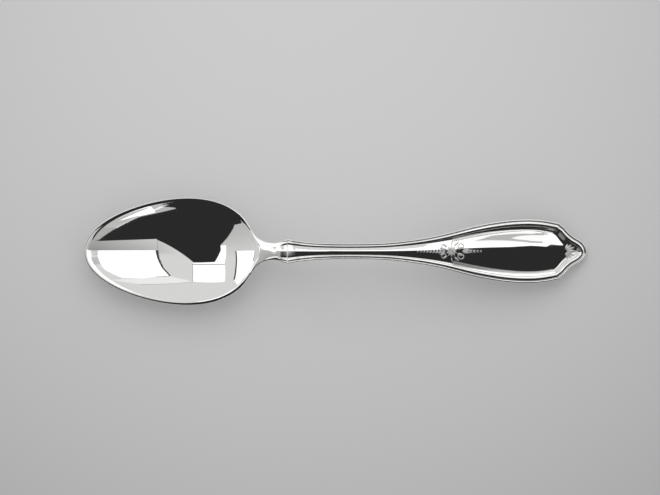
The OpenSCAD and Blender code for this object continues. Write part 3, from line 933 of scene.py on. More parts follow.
@dataclass(frozen=True)
class SilverFinish:
    """Polished silver.

    Attributes:
        name: the material's name.
        colour: reflection colour.
        deep: colour in the recesses, where polish leaves a trace of tarnish.
        roughness: of the polished metal and of the recesses.
        scratch: strength of the hairlines.
        scratch_scale: scale of the hairlines.
        scratch_rough: roughness that a hairline adds.
        scratch_bump: strength and distance of the hairlines' bump.
        haze: roughness that the polish's clouds add.
        haze_scale: scale of the clouds.
        haze_range: noise values between which a cloud fades in.
    """

    name: str
    colour: tuple
    deep: tuple
    roughness: tuple
    scratch: float
    scratch_scale: float = 9000.0
    scratch_rough: float = 0.1
    scratch_bump: tuple = (0.02, 0.00002)
    haze: float = 0.012
    haze_scale: float = 90.0
    haze_range: tuple = (0.35, 0.75)

    def build(self, hairlines: bpy.types.NodeTree) -> bpy.types.Material:
        """Makes the material.

        Args:
            hairlines: the node group of the scratches.
        Returns:
            the material.
        """
        material = bpy.data.materials.new(self.name)
        material.use_nodes = True
        material.node_tree.nodes.clear()
        graph = Graph(material.node_tree)
        place = graph.node("ShaderNodeTexCoord").outputs["Object"]
        recess = graph.node("ShaderNodeAttribute", attribute_name="recess").outputs["Fac"]
        lines = graph.node("ShaderNodeGroup", node_tree=hairlines)
        graph.put(lines.inputs["Vector"], place)
        graph.put(lines.inputs["Scale"], self.scratch_scale)
        graph.put(lines.inputs["Amount"], self.scratch)
        cloud = graph.node("ShaderNodeTexNoise", Vector=place, Scale=self.haze_scale, Detail=3.0)
        haze = graph.step(cloud.outputs["Fac"], *self.haze_range)
        colour = graph.blend(recess, (*self.colour, 1.0), (*self.deep, 1.0))
        plain, deep = self.roughness
        rough = graph.math("MULTIPLY_ADD", recess, deep - plain, plain)
        rough = graph.math("MULTIPLY_ADD", haze, self.haze, rough)
        rough = graph.math("MULTIPLY_ADD", lines.outputs["Mask"], self.scratch_rough, rough)
        strength, distance = self.scratch_bump
        bump = graph.node("ShaderNodeBump", Strength=strength, Distance=distance)
        graph.put(bump.inputs["Height"], lines.outputs["Height"])
        shader = graph.node("ShaderNodeBsdfPrincipled", Metallic=1.0)
        graph.put(shader.inputs["Base Color"], colour)
        graph.put(shader.inputs["Roughness"], rough)
        graph.put(shader.inputs["Normal"], bump.outputs[0])
        out = graph.node("ShaderNodeOutputMaterial")
        graph.put(out.inputs["Surface"], shader.outputs[0])
        return material


BODY_SILVER = SilverFinish(
    "polished_silver", (0.94, 0.935, 0.925), (0.62, 0.605, 0.59), (0.028, 0.16), 0.35
)
RELIEF_SILVER = SilverFinish(
    "relief_silver", (0.95, 0.945, 0.935), (0.4, 0.39, 0.375), (0.17, 0.34), 0.15
)


# The spoon's pieces


@dataclass
class Workshop:
    """What every piece is made from.

    Attributes:
        form: the spoon's surfaces.
        body: finish of the plain lengths.
        relief: finish of the ornament.
    """

    form: Form
    body: bpy.types.Material
    relief: bpy.types.Material


class Piece:
    """One piece of the spoon, which stands for one node of the solid model or a part of it.

    Attributes:
        node: the node.
        part: the piece's own name, where it is only a part of the node.
        slot: its material slot.
    """

    node = ""
    part = ""
    slot = Slot.BODY

    def __init__(self, shop: Workshop) -> None:
        """Takes the form and the finishes from the shop."""
        self.shop = shop
        self.form = shop.form

    @property
    def name(self) -> str:
        """The piece's name."""
        return self.part or self.node

    def shell(self) -> Shell:
        """Works out the piece's surface."""
        raise NotImplementedError

    def build(self) -> bpy.types.Object:
        """Makes the object, dresses it and joins it to the solid model's body.

        Returns:
            the object.
        """
        mesh = self.shell().to_mesh(self.name + "_mesh")
        made = bpy.data.objects.new(self.name + "_look", mesh)
        bpy.context.scene.collection.objects.link(made)
        self.dress(made)
        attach(made, "root")
        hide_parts(self.node)
        log.info("%s: %d points", self.name, len(mesh.vertices))
        return made

    def dress(self, made: bpy.types.Object) -> None:
        """Gives the piece its finish."""
        material = self.shop.body if self.slot is Slot.BODY else self.shop.relief
        made.data.materials.append(material)


# Columns of a section from the outline inwards, as shares of each band
OUTER_SHARES = cosine_steps(9)
INNER_SHARES = cosine_steps(14)[1:]
CROWN_SHARES = 1 - np.linspace(0, 1, 25)[1:] ** 1.5
# How near to the middle line the innermost thread column may come, as a share of the way
DEEPEST = 0.97
# Half height of the narrow flat at the outline, which keeps the upper and lower skins apart
LIP = 0.01
# Marks of tarnish as [strength, reach]: between the threads, at the inner one's foot, and in the
# valley beside it, whose place is a share of the handle's growth
GROOVE, FOOT, VALLEY, VALLEY_PLACE = (0.75, 0.07), (0.4, 0.08), (0.35, 0.4), 0.95


def recess_of(form: Form, x: np.ndarray, d: np.ndarray) -> np.ndarray:
    """How recessed the upper surface is: a sum of bell curves where tarnish is left.

    Args:
        form: the spoon's surfaces.
        x: places along the spoon.
        d: distances from the outline.
    Returns:
        the recess, from 0 to 1.
    """
    inside = d - form.border_w(x)
    marks = (
        (GROOVE, d - form.outer_w(x)),
        (VALLEY, inside - VALLEY_PLACE * form.growth(x)),
        (FOOT, inside),
    )
    total = sum(strength * np.exp(-((off / reach) ** 2)) for (strength, reach), off in marks)
    return form.threaded(x) * np.clip(total, 0, 1)


def skins(form: Form, x: np.ndarray, y: np.ndarray, edge: tuple) -> tuple:
    """Points of the upper and the lower surface over the plan, a lip apart at the outline.

    Args:
        form: the spoon's surfaces.
        x, y: places in the plan.
        edge: index of the places on the outline.
    Returns:
        the upper points, the lower points and their distances from the outline.
    """
    d = form.distance(x, y)
    d[edge] = 0.0
    lip = np.zeros_like(d)
    lip[edge] = LIP
    top = np.stack([x, y, form.top(x, y, d) + lip], axis=-1)
    low = np.stack([x, y, form.low(x, y, d) - lip], axis=-1)
    return top, low, d


def up_then_down(rows: np.ndarray, count: int) -> np.ndarray:
    """Straight up for the first rows, which are on top, and straight down for the others.

    Args:
        rows: grid of points.
        count: how many rows are on top.
    Returns:
        one direction for each point.
    """
    way = np.zeros_like(rows)
    way[:count, :, 2], way[count:, :, 2] = 1.0, -1.0
    return way


def run_of(line: np.ndarray) -> np.ndarray:
    """Length of a line from its start to each of its points."""
    return np.concatenate([[0], np.cumsum(np.linalg.norm(np.diff(line, axis=0), axis=1))])


class LongGrid:
    """Sections of the spoon from the heel to the ears, as loops round the metal.

    Each loop runs over the top from one edge to the other and back underneath, and both halves
    share their places across, so a cut is filled by joining them. The pieces slice this grid.
    """

    def __init__(self, form: Form) -> None:
        """Works out every loop with its normals and its recess.

        Args:
            form: the spoon's surfaces.
        """
        self.form = form
        self.x = self._places()
        x = self.x[:, None]
        outer, inner = form.outer_w(x), form.inner_w(x)
        insets = np.concatenate([OUTER_SHARES * outer, outer + INNER_SHARES * inner], axis=1)
        count = insets.shape[1]
        deep = form.distance(x, np.zeros_like(x))
        insets = np.minimum(insets, deep * DEEPEST * np.arange(count) / (count - 1))
        across = form.inset_y(np.broadcast_to(x, insets.shape), insets)
        across[:, 0] = form.half_w(self.x)
        crown = across[:, -1:] * CROWN_SHARES
        half = np.concatenate([across, crown], axis=1)
        self.half = half[:, ::-1]
        y = np.concatenate([-half[:, :-1], self.half], axis=1)
        self.cols = y.shape[1]
        xs = np.broadcast_to(x, y.shape)
        top, low, d = skins(form, xs, y, np.s_[:, [0, -1]])
        self.loops = np.concatenate([top, low[:, ::-1]], axis=1)
        along = tangents(self.loops, 0)
        around = tangents(self.loops, 1, closed=True)
        self.normals = unit(np.cross(along, around))
        worn = recess_of(form, xs, d)
        self.worn = np.concatenate([worn, np.zeros_like(worn)], axis=1)

    def _places(self) -> np.ndarray:
        """Places of the sections, closer together at the step and at the ears.

        Returns:
            the places, from the look's own cut in the heel to the ears.
        """
        f = self.form
        crest_x = f.shoulder_x - f.neck.crest_rise
        # The start of each run and the step in it
        stops = [
            (f.look_cut_x, 0.08), (f.cut_x, 0.15), (f.collar_x[0], 0.15), (crest_x - 0.1, 0.04),
            (f.shoulder_x + 0.1, 0.2), (f.collar_x[1], 0.35), (f.stem_to_x, 0.3),
            (f.widest_x, 0.22), (f.ear_x - 1.0, 0.1), (f.ear_x, 0.0),
        ]
        runs = [
            np.linspace(a, b, max(round((b - a) / step), 2) + 1)[:-1]
            for (a, step), (b, _) in zip(stops[:-1], stops[1:])
        ]
        return np.concatenate(runs + [[f.ear_x]])

    def slice(self, a: float, b: float) -> Shell:
        """The closed piece between two sections.

        Args:
            a, b: places of the sections.
        Returns:
            the piece, with a flat cut at each end.
        """
        rows = np.where((self.x > a - 1e-6) & (self.x < b + 1e-6))[0]
        loops, normals = self.loops[rows], self.normals[rows]
        n, m = loops.shape[:2]
        faces = grid_faces(n, m, closed=True)
        i = np.arange(self.cols - 1)
        under = m - 1 - i
        near = np.stack([i, i + 1, under - 1, under], axis=1)
        far = near[:, ::-1] + (n - 1) * m
        return Shell(
            loops.reshape(-1, 3),
            [faces],
            normals.reshape(-1, 3),
            [(near, (-1.0, 0.0, 0.0)), (far, (1.0, 0.0, 0.0))],
            self.worn[rows].ravel(),
        )


class GridPiece(Piece):
    """A piece that shares its cuts with the long grid."""

    def __init__(self, shop: Workshop, grid: LongGrid) -> None:
        """Takes the shop and the long grid."""
        super().__init__(shop)
        self.grid = grid


class Length(GridPiece):
    """A length of the spoon between two sections of the long grid."""

    def __init__(
        self, shop: Workshop, grid: LongGrid, node: str, a: float, b: float, part: str = ""
    ) -> None:
        """Sets which length it is.

        Args:
            shop: the workshop.
            grid: the long grid.
            node: the node that it stands for.
            a, b: places of its two ends.
            part: its own name, where it is only a part of the node.
        """
        super().__init__(shop, grid)
        self.node, self.span, self.part = node, (a, b), part

    def shell(self) -> Shell:
        """The slice of the long grid."""
        return self.grid.slice(*self.span)


def fan_shell(rings: np.ndarray, normals: np.ndarray, tops: int, cut: np.ndarray) -> Shell:
    """Closed piece of rings that run from a pole on top, round the edge, to a pole below.

    Args:
        rings: ring points, pole rings included as rings whose points all coincide.
        normals: their normals.
        tops: how many rings are on top.
        cut: numbers of the ring points that lie on the cut, which faces +X.
    Returns:
        the piece.
    """
    n, m = rings.shape[:2]
    inner = rings[1:-1].reshape(-1, 3)
    points = np.concatenate([inner, rings[0, :1], rings[-1, :1]])
    poles = unit(np.stack([normals[1].mean(0), normals[-2].mean(0)]))
    faces = grid_faces(n - 2, m, closed=True)
    at_edge = (faces // m).min(1) == tops - 2
    on_cut = np.isin(faces[:, 0] % m, cut[:-1]) & np.isin(faces[:, 1] % m, cut[1:])
    caps = faces[at_edge & on_cut][:, ::-1]
    faces = faces[~(at_edge & on_cut)][:, ::-1]
    j = np.arange(m)
    k = (j + 1) % m
    last = (n - 3) * m
    top = np.stack([np.full(m, len(inner)), k, j], axis=1)
    low = np.stack([np.full(m, len(inner) + 1), last + j, last + k], axis=1)
    return Shell(
        points,
        [faces, np.concatenate([top, low])],
        np.concatenate([normals[1:-1].reshape(-1, 3), poles]),
        [(caps, (1.0, 0.0, 0.0))],
    )


class Bowl(GridPiece):
    """The bowl: rings from the middle of the hollow over the rim to the belly.

    Attributes:
        middle: where all the rings close in.
        spokes: how many points of the border are beside the cut.
        rings: how many rings each surface has.
        near: distances of the first rings from the outline, close together on the rim's round.
        slant: least sine of the angle between a spoke and the outline that is made up for.
        crowding: below 1, it draws the later rings towards the middle.
        edge_rings: rings on each side of the outline whose normals come from the mesh.
    """

    node = "bowl"
    middle = (-44.0, 0.0)
    spokes = 360
    rings = 64
    near = np.concatenate([cosine_steps(16)[:9] * 0.7, np.linspace(0.35, 1.7, 22)[1:]])
    slant = 0.6
    crowding = 0.8
    edge_rings = 12

    def _border(self) -> tuple:
        """Outline of the piece: along one side, across the cut and back.

        Returns:
            the outline, and the numbers of its points on the cut.
        """
        f = self.form
        line = f.outline[f.outline[:, 0] <= f.look_cut_x]
        run = run_of(line)
        half = self.spokes // 2
        x = np.interp(np.linspace(0, run[-1], half + 1), run, line[:, 0])
        x[-1] = f.look_cut_x
        side = np.c_[x, f.half_w(x)]
        side[0] = (f.overall.tip_x, 0.0)
        cut_y = self.grid.loops[0, : self.grid.cols, 1][::-1]
        cut = np.c_[np.full(len(cut_y), f.look_cut_x), cut_y]
        back = side[1:-1][::-1] * (1, -1)
        return np.concatenate([side, cut[1:], back]), np.arange(half, half + len(cut_y))

    def shell(self) -> Shell:
        """Rings at set distances from the outline, then shares of the way to the middle.

        Returns:
            the bowl up to the look's own cut in the heel.
        """
        border, cut = self._border()
        middle = np.array(self.middle)
        to_middle = middle - border
        reach = np.linalg.norm(to_middle, axis=1, keepdims=True)
        aim = to_middle / reach
        side = tangents(border[None], 1, closed=True)[0]
        across = np.abs(side[:, :1] * aim[:, 1:] - side[:, 1:] * aim[:, :1])
        across[cut] = 1.0
        insets = self.near[:, None] / np.clip(across[:, 0], self.slant, 1.0)
        start = insets[-1] / reach[:, 0]
        shares = np.linspace(0, 1, self.rings - len(self.near) + 1)[1:] ** self.crowding
        far = (start + (1 - start) * shares[:, None]) * reach[:, 0]
        insets = np.concatenate([insets, far])
        plan = border + aim * insets[..., None]
        plan[-1] = middle
        on_line = np.ones(len(border), bool)
        on_line[cut[1:-1]] = False
        top, low, _ = skins(self.form, plan[..., 0], plan[..., 1], (0, on_line))
        rings = np.concatenate([top[::-1], low])
        count = len(top)
        return fan_shell(rings, self._normals(rings, count, cut), count, cut)

    def _normals(self, rings: np.ndarray, count: int, cut: np.ndarray) -> np.ndarray:
        """Normals of the rings. On the cut they are the neck's.

        Args:
            rings: ring points, the upper rings first.
            count: how many rings are on top.
            cut: numbers of the ring points on the cut.
        Returns:
            one normal for each point.
        """
        around = tangents(rings, 1, closed=True)
        spoke = tangents(rings, 0)
        normals = unit(np.cross(around, spoke))
        edge = self.edge_rings
        interior = np.r_[1 : count - edge, count + edge : len(rings) - 1]
        normals[interior] = self._smooth(rings, interior, count)
        normals = outward(normals, up_then_down(rings, count))
        cols = self.grid.cols
        neck = self.grid.normals[0]
        normals[count - 1, cut] = neck[:cols][::-1]
        normals[count, cut] = neck[cols:]
        return normals

    def _smooth(self, rings: np.ndarray, numbers: np.ndarray, count: int) -> np.ndarray:
        """Normals of the inner rings from the slope of the height functions.

        Args:
            rings: ring points, the upper rings first.
            numbers: which rings are worked out.
            count: how many rings are on top.
        Returns:
            their normals, all of them upwards.
        """
        f, h = self.form, 0.01
        out = []
        for number in numbers:
            height = f.top if number < count else f.low
            x, y = rings[number, :, 0], rings[number, :, 1]
            slope_x = (height(x + h, y) - height(x - h, y)) / (2 * h)
            slope_y = (height(x, y + h) - height(x, y - h)) / (2 * h)
            out.append(unit(np.stack([-slope_x, -slope_y, np.ones_like(x)], axis=1)))
        return np.stack(out)


class Terminal(GridPiece):
    """The pointed end: rings parallel to its outline, then shares of the way to the cut.

    Attributes:
        steps: steps of each ring.
        places: places along half of the outline that the rings are worked out from.
        edge_rise: how far the outward direction at the edge turns up or down.
    """

    node = "terminal"
    steps = 170
    places = 1500
    edge_rise = 0.3

    def _curve(self) -> tuple:
        """Outline beyond the ears, from one ear round the nose to the other.

        Returns:
            its points and its inward directions.
        """
        f = self.form
        x = mix(f.ear_x, f.overall.end_x, np.sin(np.linspace(0, math.pi / 2, self.places)))
        half = np.c_[x, f.half_w(x)]
        half[-1, 1] = 0.0
        line = np.concatenate([half * (1, -1), half[-2::-1]])
        way = tangents(line[None], 1)[0]
        return line, unit(np.c_[-way[:, 1], way[:, 0]])

    def shell(self) -> Shell:
        """Rings at the long grid's own distances, so that both sides of the cut agree.

        Returns:
            the end beyond the ears.
        """
        f = self.form
        line, inward = self._curve()
        run = run_of(line)
        mid = len(line) // 2
        ear = self.grid.half[-1][::-1]
        strip = len(OUTER_SHARES) + len(INNER_SHARES)
        depths = f.distance(np.full(strip, f.ear_x), ear[:strip])
        depths[0] = 0.0
        plans = []
        for depth, edge in zip(depths, ear):
            ring = line + inward * depth
            inside = ring[: mid + 1, 0] >= f.ear_x
            first = int(np.argmax(inside)) if depth > 0 else 0
            s = mix(run[first], run[-1] - run[first], np.linspace(0, 1, self.steps + 1))
            got = np.c_[np.interp(s, run, ring[:, 0]), np.interp(s, run, ring[:, 1])]
            got[0], got[-1] = (f.ear_x, -edge), (f.ear_x, edge)
            plans.append(got)
        rings = np.stack(plans)
        shares = ear[strip:] / ear[strip - 1]
        base = np.array([f.ear_x, 0.0])
        fan = base + (rings[-1] - base) * shares[:, None, None]
        return self._close(np.concatenate([rings, fan]))

    def _close(self, plan: np.ndarray) -> Shell:
        """Upper and lower surface over the plan, the edge between them and the cut.

        Args:
            plan: the rings' points in the plan, from the outline inwards.
        Returns:
            the closed piece.
        """
        f, grid = self.form, self.grid
        top, low, d = skins(f, plan[..., 0], plan[..., 1], (0,))
        rows = np.concatenate([top[::-1], low])
        count, n = len(top), plan.shape[1]
        normals = unit(np.cross(tangents(rows, 1), tangents(rows, 0)))
        way = up_then_down(rows, count)
        edge = np.zeros(len(rows), bool)
        edge[count - 2 : count + 2] = True
        side = rows - np.array([f.ear_x, 0.0, 0.0])
        side[..., 2] = 0.0
        way[edge] = unit(side[edge]) + way[edge] * self.edge_rise
        normals = outward(normals, way)
        cols, half = grid.cols, grid.cols // 2
        seam = grid.normals[-1]
        normals[:count, 0] = seam[half::-1]
        normals[:count, -1] = seam[half:cols]
        under = seam[cols:]
        normals[count:, 0] = under[::-1][: half + 1]
        normals[count:, -1] = under[: half + 1]
        worn = recess_of(f, plan[..., 0], d)
        worn = np.concatenate([worn[::-1], np.zeros_like(worn)])
        quads = grid_faces(len(rows), n)
        last = len(rows) - 2
        ring = quads // n
        upper, lower = quads[ring.min(1) == 0], quads[ring.max(1) > last]
        quads = quads[(ring.min(1) > 0) & (ring.max(1) <= last)]
        upper[:, [0, 3]], lower[:, [1, 2]] = 0, (len(rows) - 1) * n
        i = np.arange(count - 1)
        low_i = 2 * count - 1 - i
        first = np.stack([i, i + 1, low_i - 1, low_i], axis=1) * n
        caps = np.concatenate([first[:, ::-1], first + n - 1])
        caps[caps == n - 1] = 0
        caps[caps == len(rows) * n - 1] = (len(rows) - 1) * n
        return Shell(
            rows.reshape(-1, 3), [quads, upper[:, :3], lower[:, [0, 1, 3]]],
            normals.reshape(-1, 3), [(caps, (-1.0, 0.0, 0.0))], worn.ravel(),
        )


# Ornament


@dataclass(frozen=True)
class Leaf:
    """One leaf: its foot, its direction in degrees, its length, width and height.

    Attributes:
        curl: sideways bend of its tip, as a share of its length.
        vein: depth of the groove along it, as a share of its height.
        blunt: 0 for a pointed leaf, 1 for a round lobe.
    """

    x: float
    y: float
    angle: float
    length: float
    width: float
    height: float
    curl: float = 0.0
    vein: float = 0.3
    blunt: float = 0.0

    def mirrored(self) -> "Leaf":
        """The same leaf on the other side of the spoon."""
        return replace(self, y=-self.y, angle=-self.angle, curl=-self.curl)


@dataclass(frozen=True)
class LeafForm:
    """How a leaf narrows and swells.

    Attributes:
        rows, cols: points from its foot to its tip, and across it.
        point: powers inside and outside the sine that a pointed leaf's outline follows.
        foot: width of a round lobe near its foot, against 1 near its tip.
        groove: width of the vein, where the leaf's half width is 1.
        swell: power below 1, which draws the highest place towards the foot.
        clean: how fast the tarnish fades as the leaf rises.
    """

    rows: int = 13
    cols: int = 9
    point: tuple = (0.8, 0.85)
    foot: float = 0.55
    groove: float = 0.28
    swell: float = 0.75
    clean: float = 1.5

    def faces(self, count: int) -> np.ndarray:
        """Faces of so many leaves: the back, the wall along the outline and the base.

        Args:
            count: how many leaves there are.
        Returns:
            quads, where each leaf's points are its back's and then its base's.
        """
        nu, nv = self.rows, self.cols
        half = nu * nv
        grid = grid_faces(nu, nv)
        across, along = np.arange(nv - 1), np.arange(nu - 1)
        rim = np.concatenate(
            [across, along * nv + nv - 1, across[::-1] + 1 + (nu - 1) * nv, (along[::-1] + 1) * nv]
        )
        ahead = np.roll(rim, -1)
        wall = np.stack([rim, ahead, ahead + half, rim + half], axis=1)
        one = np.concatenate([grid, wall, grid[:, ::-1] + half])
        return (one[None] + np.arange(count)[:, None, None] * 2 * half).reshape(-1, 4)

    def shell(self, form: Form, leaves: list, seat: float) -> Shell:
        """All of a piece's leaves as one shell, worked out together.

        Each leaf is a grid: u runs from foot to tip and v across. Its outline is a sine or a
        circle, bent sideways by a square. It swells out of the field as a root of a sine along
        and of a circle across, has a vein along its back, and is closed by its own outline a
        little below the field.

        Args:
            form: the spoon's surfaces.
            leaves: the leaves.
            seat: how far they reach into the field.
        Returns:
            the shell.
        """
        table = np.array([astuple(leaf) for leaf in leaves])
        fx, fy, angle, length, width, height, curl, vein, blunt = table.T[:, :, None, None]
        angle = np.radians(angle)
        u = np.linspace(0, 1, self.rows)[None, :, None]
        v = np.sin(np.linspace(-math.pi / 2, math.pi / 2, self.cols))[None, None]
        point = np.sin(math.pi * u ** self.point[0]) ** self.point[1]
        lobe = np.sqrt(np.maximum(1 - (2 * u - 1) ** 2, 0)) * mix(self.foot, 1.0, u)
        half = width / 2 * mix(point, lobe, blunt)
        along = u * length
        aside = v * half + curl * length * u * u
        x = fx + along * np.cos(angle) - aside * np.sin(angle)
        y = fy + along * np.sin(angle) + aside * np.cos(angle)
        back = 1 - vein * np.exp(-((v / self.groove) ** 2))
        rise = np.sqrt(np.maximum(1 - v * v, 0)) * back
        rise = rise * np.sqrt(np.clip(np.sin(math.pi * u**self.swell), 0, 1))
        field_z = form.top(x, y)
        top = np.stack([x, y, field_z - seat + (height + seat) * rise], axis=-1)
        base = np.stack([x, y, field_z - 2 * seat], axis=-1)
        normals = unit(np.cross(tangents(top, 1), tangents(top, 2)))
        normals = outward(normals, np.array([0.0, 0.0, 1.0]))
        down = np.broadcast_to((0.0, 0.0, -1.0), base.shape)
        deep = np.broadcast_to(1 - np.clip(rise * self.clean, 0, 1), x.shape)
        count = len(leaves)
        return Shell(
            np.concatenate([part.reshape(count, -1, 3) for part in (top, base)], 1).reshape(-1, 3),
            [self.faces(count)],
            np.concatenate([n.reshape(count, -1, 3) for n in (normals, down)], 1).reshape(-1, 3),
            worn=np.concatenate(
                [part.reshape(count, -1) for part in (deep, np.ones_like(deep))], 1
            ).ravel(),
        )


class Ornament(Piece):
    """A piece made of leaves that lie on the field."""

    slot = Slot.RELIEF
    sizes = OrnamentSizes()
    style = LeafForm()

    def leaves(self) -> list:
        """The piece's leaves."""
        raise NotImplementedError

    def shell(self) -> Shell:
        """All the leaves in one shell."""
        return self.style.shell(self.form, self.leaves(), self.sizes.seat)


class HuskRow(Ornament):
    """Husk leaves along one side, which turn and shrink towards the end.

    Attributes:
        count: how many husks there are.
        curl, vein: their bend and groove.
        probe: half of the stretch over which the outline's direction is taken.
    """

    count = 46
    curl = -0.1
    vein = 0.35
    probe = 0.04

    def __init__(self, shop: Workshop, side: Side) -> None:
        """Sets which row it is.

        Args:
            shop: the workshop.
            side: the side that the row is on.
        """
        super().__init__(shop)
        self.side = side
        self.node = f"husk_row_{side.value}"

    def leaves(self) -> list:
        """The row's leaves, each centred on a line inside the threads.

        Returns:
            the leaves, from the flower to the end.
        """
        f, s, probe = self.form, self.sizes, self.probe
        t = np.linspace(0, 1, self.count)
        first, last = (mix(f.shoulder_x, f.ear_x, share) for share in s.husk_run)
        x = mix(first, last, t)
        length = mix(*s.husk_l, t)
        width = length * mix(*s.husk_w, t)
        height = s.husk_h * mix(1.0, s.husk_fade, t)
        climb = f.half_w(x + probe) - f.half_w(x - probe)
        angle = np.degrees(np.arctan2(climb, 2 * probe)) + mix(*s.husk_turn, t)
        y = f.inset_y(x, f.border_w(x) + s.husk_bed * f.growth(x))
        foot_x = x - np.cos(np.radians(angle)) * length / 2
        foot_y = y - np.sin(np.radians(angle)) * length / 2
        made = [
            Leaf(*row, curl=self.curl, vein=self.vein)
            for row in zip(foot_x, foot_y, angle, length, width, height)
        ]
        return made if self.side is Side.LEFT else [leaf.mirrored() for leaf in made]


class FlowerSpray(Ornament):
    """A rosette, scrolls on both sides, leaves between, a drop of husks and a spike of buds.

    Attributes:
        petals: how many in each ring, its reach, its height and its turn in petals.
        leaf_rows: [foot x, foot y, degrees, length, curl], the feet in rosette radii.
        scrolls: [middle x, middle y, first degrees, turn in degrees, size] of each.
        scroll_leaves: how many leaves a scroll has.
        tails: [husks, first size, last size, start, pitch, degrees] of each.
        low: height of the leaves round the rosette, as a share of the petals'.
        foot_r, cap_r: radius of the petals' feet and of the button, in button radii.
        cap_h: height of the button, in petal heights.
        petal_w, leaf_w, bud_w: widths as shares of the lengths.
        scroll_r, scroll_l: first and last radius and leaf length of a scroll, in scroll radii.
        scroll_w: widths of its first and last leaf, as shares of their lengths.
    """

    node = "flower_spray"
    petals = ((10, 1.0, 1.0, 0.5), (5, 0.62, 1.35, 0.0))
    leaf_rows = (
        (0.95, 0.35, 22, 0.9, -0.12), (0.5, 0.95, 48, 0.75, -0.15),
        (-0.75, 0.75, 140, 0.7, 0.12), (-1.05, 0.3, 160, 0.75, 0.12),
        (2.1, 0.1, 12, 0.8, -0.1), (0.0, 1.1, 84, 0.5, -0.1),
    )
    scrolls = ((1.75, 0.85, 190, -300, 1.0), (-1.45, 0.8, -20, 290, 0.8))
    scroll_leaves = 14
    tails = ((9, 0.8, 0.28, -1.1, -0.52, 180 - 26), (6, 0.75, 0.3, 1.9, 0.55, 26))
    low = 0.8
    foot_r, cap_r, cap_h = 0.5, 0.8, 1.5
    petal_w, leaf_w, bud_w = 0.44, 0.32, 0.34
    scroll_r, scroll_l, scroll_w = (1.0, 0.45), (0.75, 0.5), (0.42, 0.6)

    def leaves(self) -> list:
        """The whole spray, of which all but the rosette is there on both sides.

        Returns:
            the leaves.
        """
        middle = mix(self.form.shoulder_x, self.form.ear_x, self.sizes.flower_at)
        half = self._spray(middle) + self._scrolls(middle) + self._tails(middle)
        return self._rosette(middle) + half + [leaf.mirrored() for leaf in half]

    def _rosette(self, middle: float) -> list:
        """Petals round a button, and a shorter ring of petals over them.

        Args:
            middle: place of its middle along the spoon.
        Returns:
            its petals and the button.
        """
        s = self.sizes
        inner = s.button_r * self.foot_r
        made = []
        for count, reach, high, turn in self.petals:
            for i in range(count):
                a = 360.0 * (i + turn) / count
                x = middle + math.cos(math.radians(a)) * inner
                y = math.sin(math.radians(a)) * inner
                length = s.flower_r * reach - inner
                width, height = length * self.petal_w, s.petal_h * high
                made.append(Leaf(x, y, a, length, width, height, vein=0.35, blunt=0.35))
        r, height = s.button_r * self.cap_r, s.petal_h * self.cap_h
        button = Leaf(middle - r, 0.0, 0.0, 2 * r, 2 * r, height, vein=0.0, blunt=1.0)
        return made + [button]

    def _spray(self, middle: float) -> list:
        """Leaves between the scrolls, on one side.

        Args:
            middle: place of the rosette's middle along the spoon.
        Returns:
            the leaves.
        """
        s = self.sizes
        return [
            Leaf(
                middle + a * s.flower_r, b * s.flower_r, angle, share * s.spray_l,
                share * s.spray_l * self.leaf_w, s.petal_h * self.low, curl=curl,
            )
            for a, b, angle, share, curl in self.leaf_rows
        ]

    def _scrolls(self, middle: float) -> list:
        """Two curling stems on one side, each a run of overlapping leaves on a spiral.

        Args:
            middle: place of the rosette's middle along the spoon.
        Returns:
            the leaves.
        """
        s = self.sizes
        made = []
        for a, b, start, turn, size in self.scrolls:
            for i in range(self.scroll_leaves):
                t = i / (self.scroll_leaves - 1)
                angle = math.radians(start + turn * t)
                r = size * s.scroll_r * mix(*self.scroll_r, t)
                length = size * s.scroll_r * mix(*self.scroll_l, t)
                x = middle + a * s.flower_r + r * math.cos(angle)
                y = b * s.flower_r + r * math.sin(angle)
                way = angle + math.copysign(math.pi / 2, turn)
                made.append(
                    Leaf(
                        x - math.cos(way) * length / 2, y - math.sin(way) * length / 2,
                        math.degrees(way), length, length * mix(*self.scroll_w, t),
                        s.petal_h * self.low, curl=math.copysign(0.12, turn), vein=0.15,
                        blunt=0.4,
                    )
                )
        return made

    def _tails(self, middle: float) -> list:
        """The drop towards the stem and the spike towards the end, on one side.

        Args:
            middle: place of the rosette's middle along the spoon.
        Returns:
            their husks.
        """
        s, husk = self.sizes, self.sizes.husk_l[0]
        made = []
        for count, big, small, start, pitch, way in self.tails:
            for i in range(count):
                length = mix(big, small, i / count) * husk
                x = middle + s.flower_r * start + i * husk * pitch
                width, height = length * self.bud_w, s.petal_h * self.low
                made.append(Leaf(x, 0.0, way, length, width, height))
        return made


class EndPalmette(Ornament):
    """Lobes that fan out over the end of the field.

    Attributes:
        side_lobes: how many lobes there are on each side of the middle one.
        hub: radius of the lobes' feet, as a share of the middle lobe's length.
        shortest: length of the last lobe, as a share of the middle one's.
        width: width of the lobes, as a share of the middle lobe's length.
        curl: bend of the last lobe.
    """

    node = "end_palmette"
    side_lobes = 3
    hub, shortest, width, curl = 0.15, 0.6, 0.27, 0.06

    def leaves(self) -> list:
        """A middle lobe and shorter ones on both sides of it.

        Returns:
            the lobes, from one side to the other.
        """
        f, s, last = self.form, self.sizes, self.side_lobes
        foot = mix(f.ear_x, f.overall.end_x, s.palmette_at)
        inner = s.palmette_l * self.hub
        made = []
        for i in range(-last, last + 1):
            a = i / last * s.palmette_fan
            x, y = math.cos(math.radians(a)) * inner, math.sin(math.radians(a)) * inner
            length = s.palmette_l * mix(1.0, self.shortest, abs(i) / last)
            made.append(
                Leaf(
                    foot + x, y, a, length, s.palmette_l * self.width, s.petal_h,
                    curl=self.curl * i / last, vein=0.25, blunt=0.45,
                )
            )
        return made


# The studio


Corners = tuple[tuple[float, ...], ...]


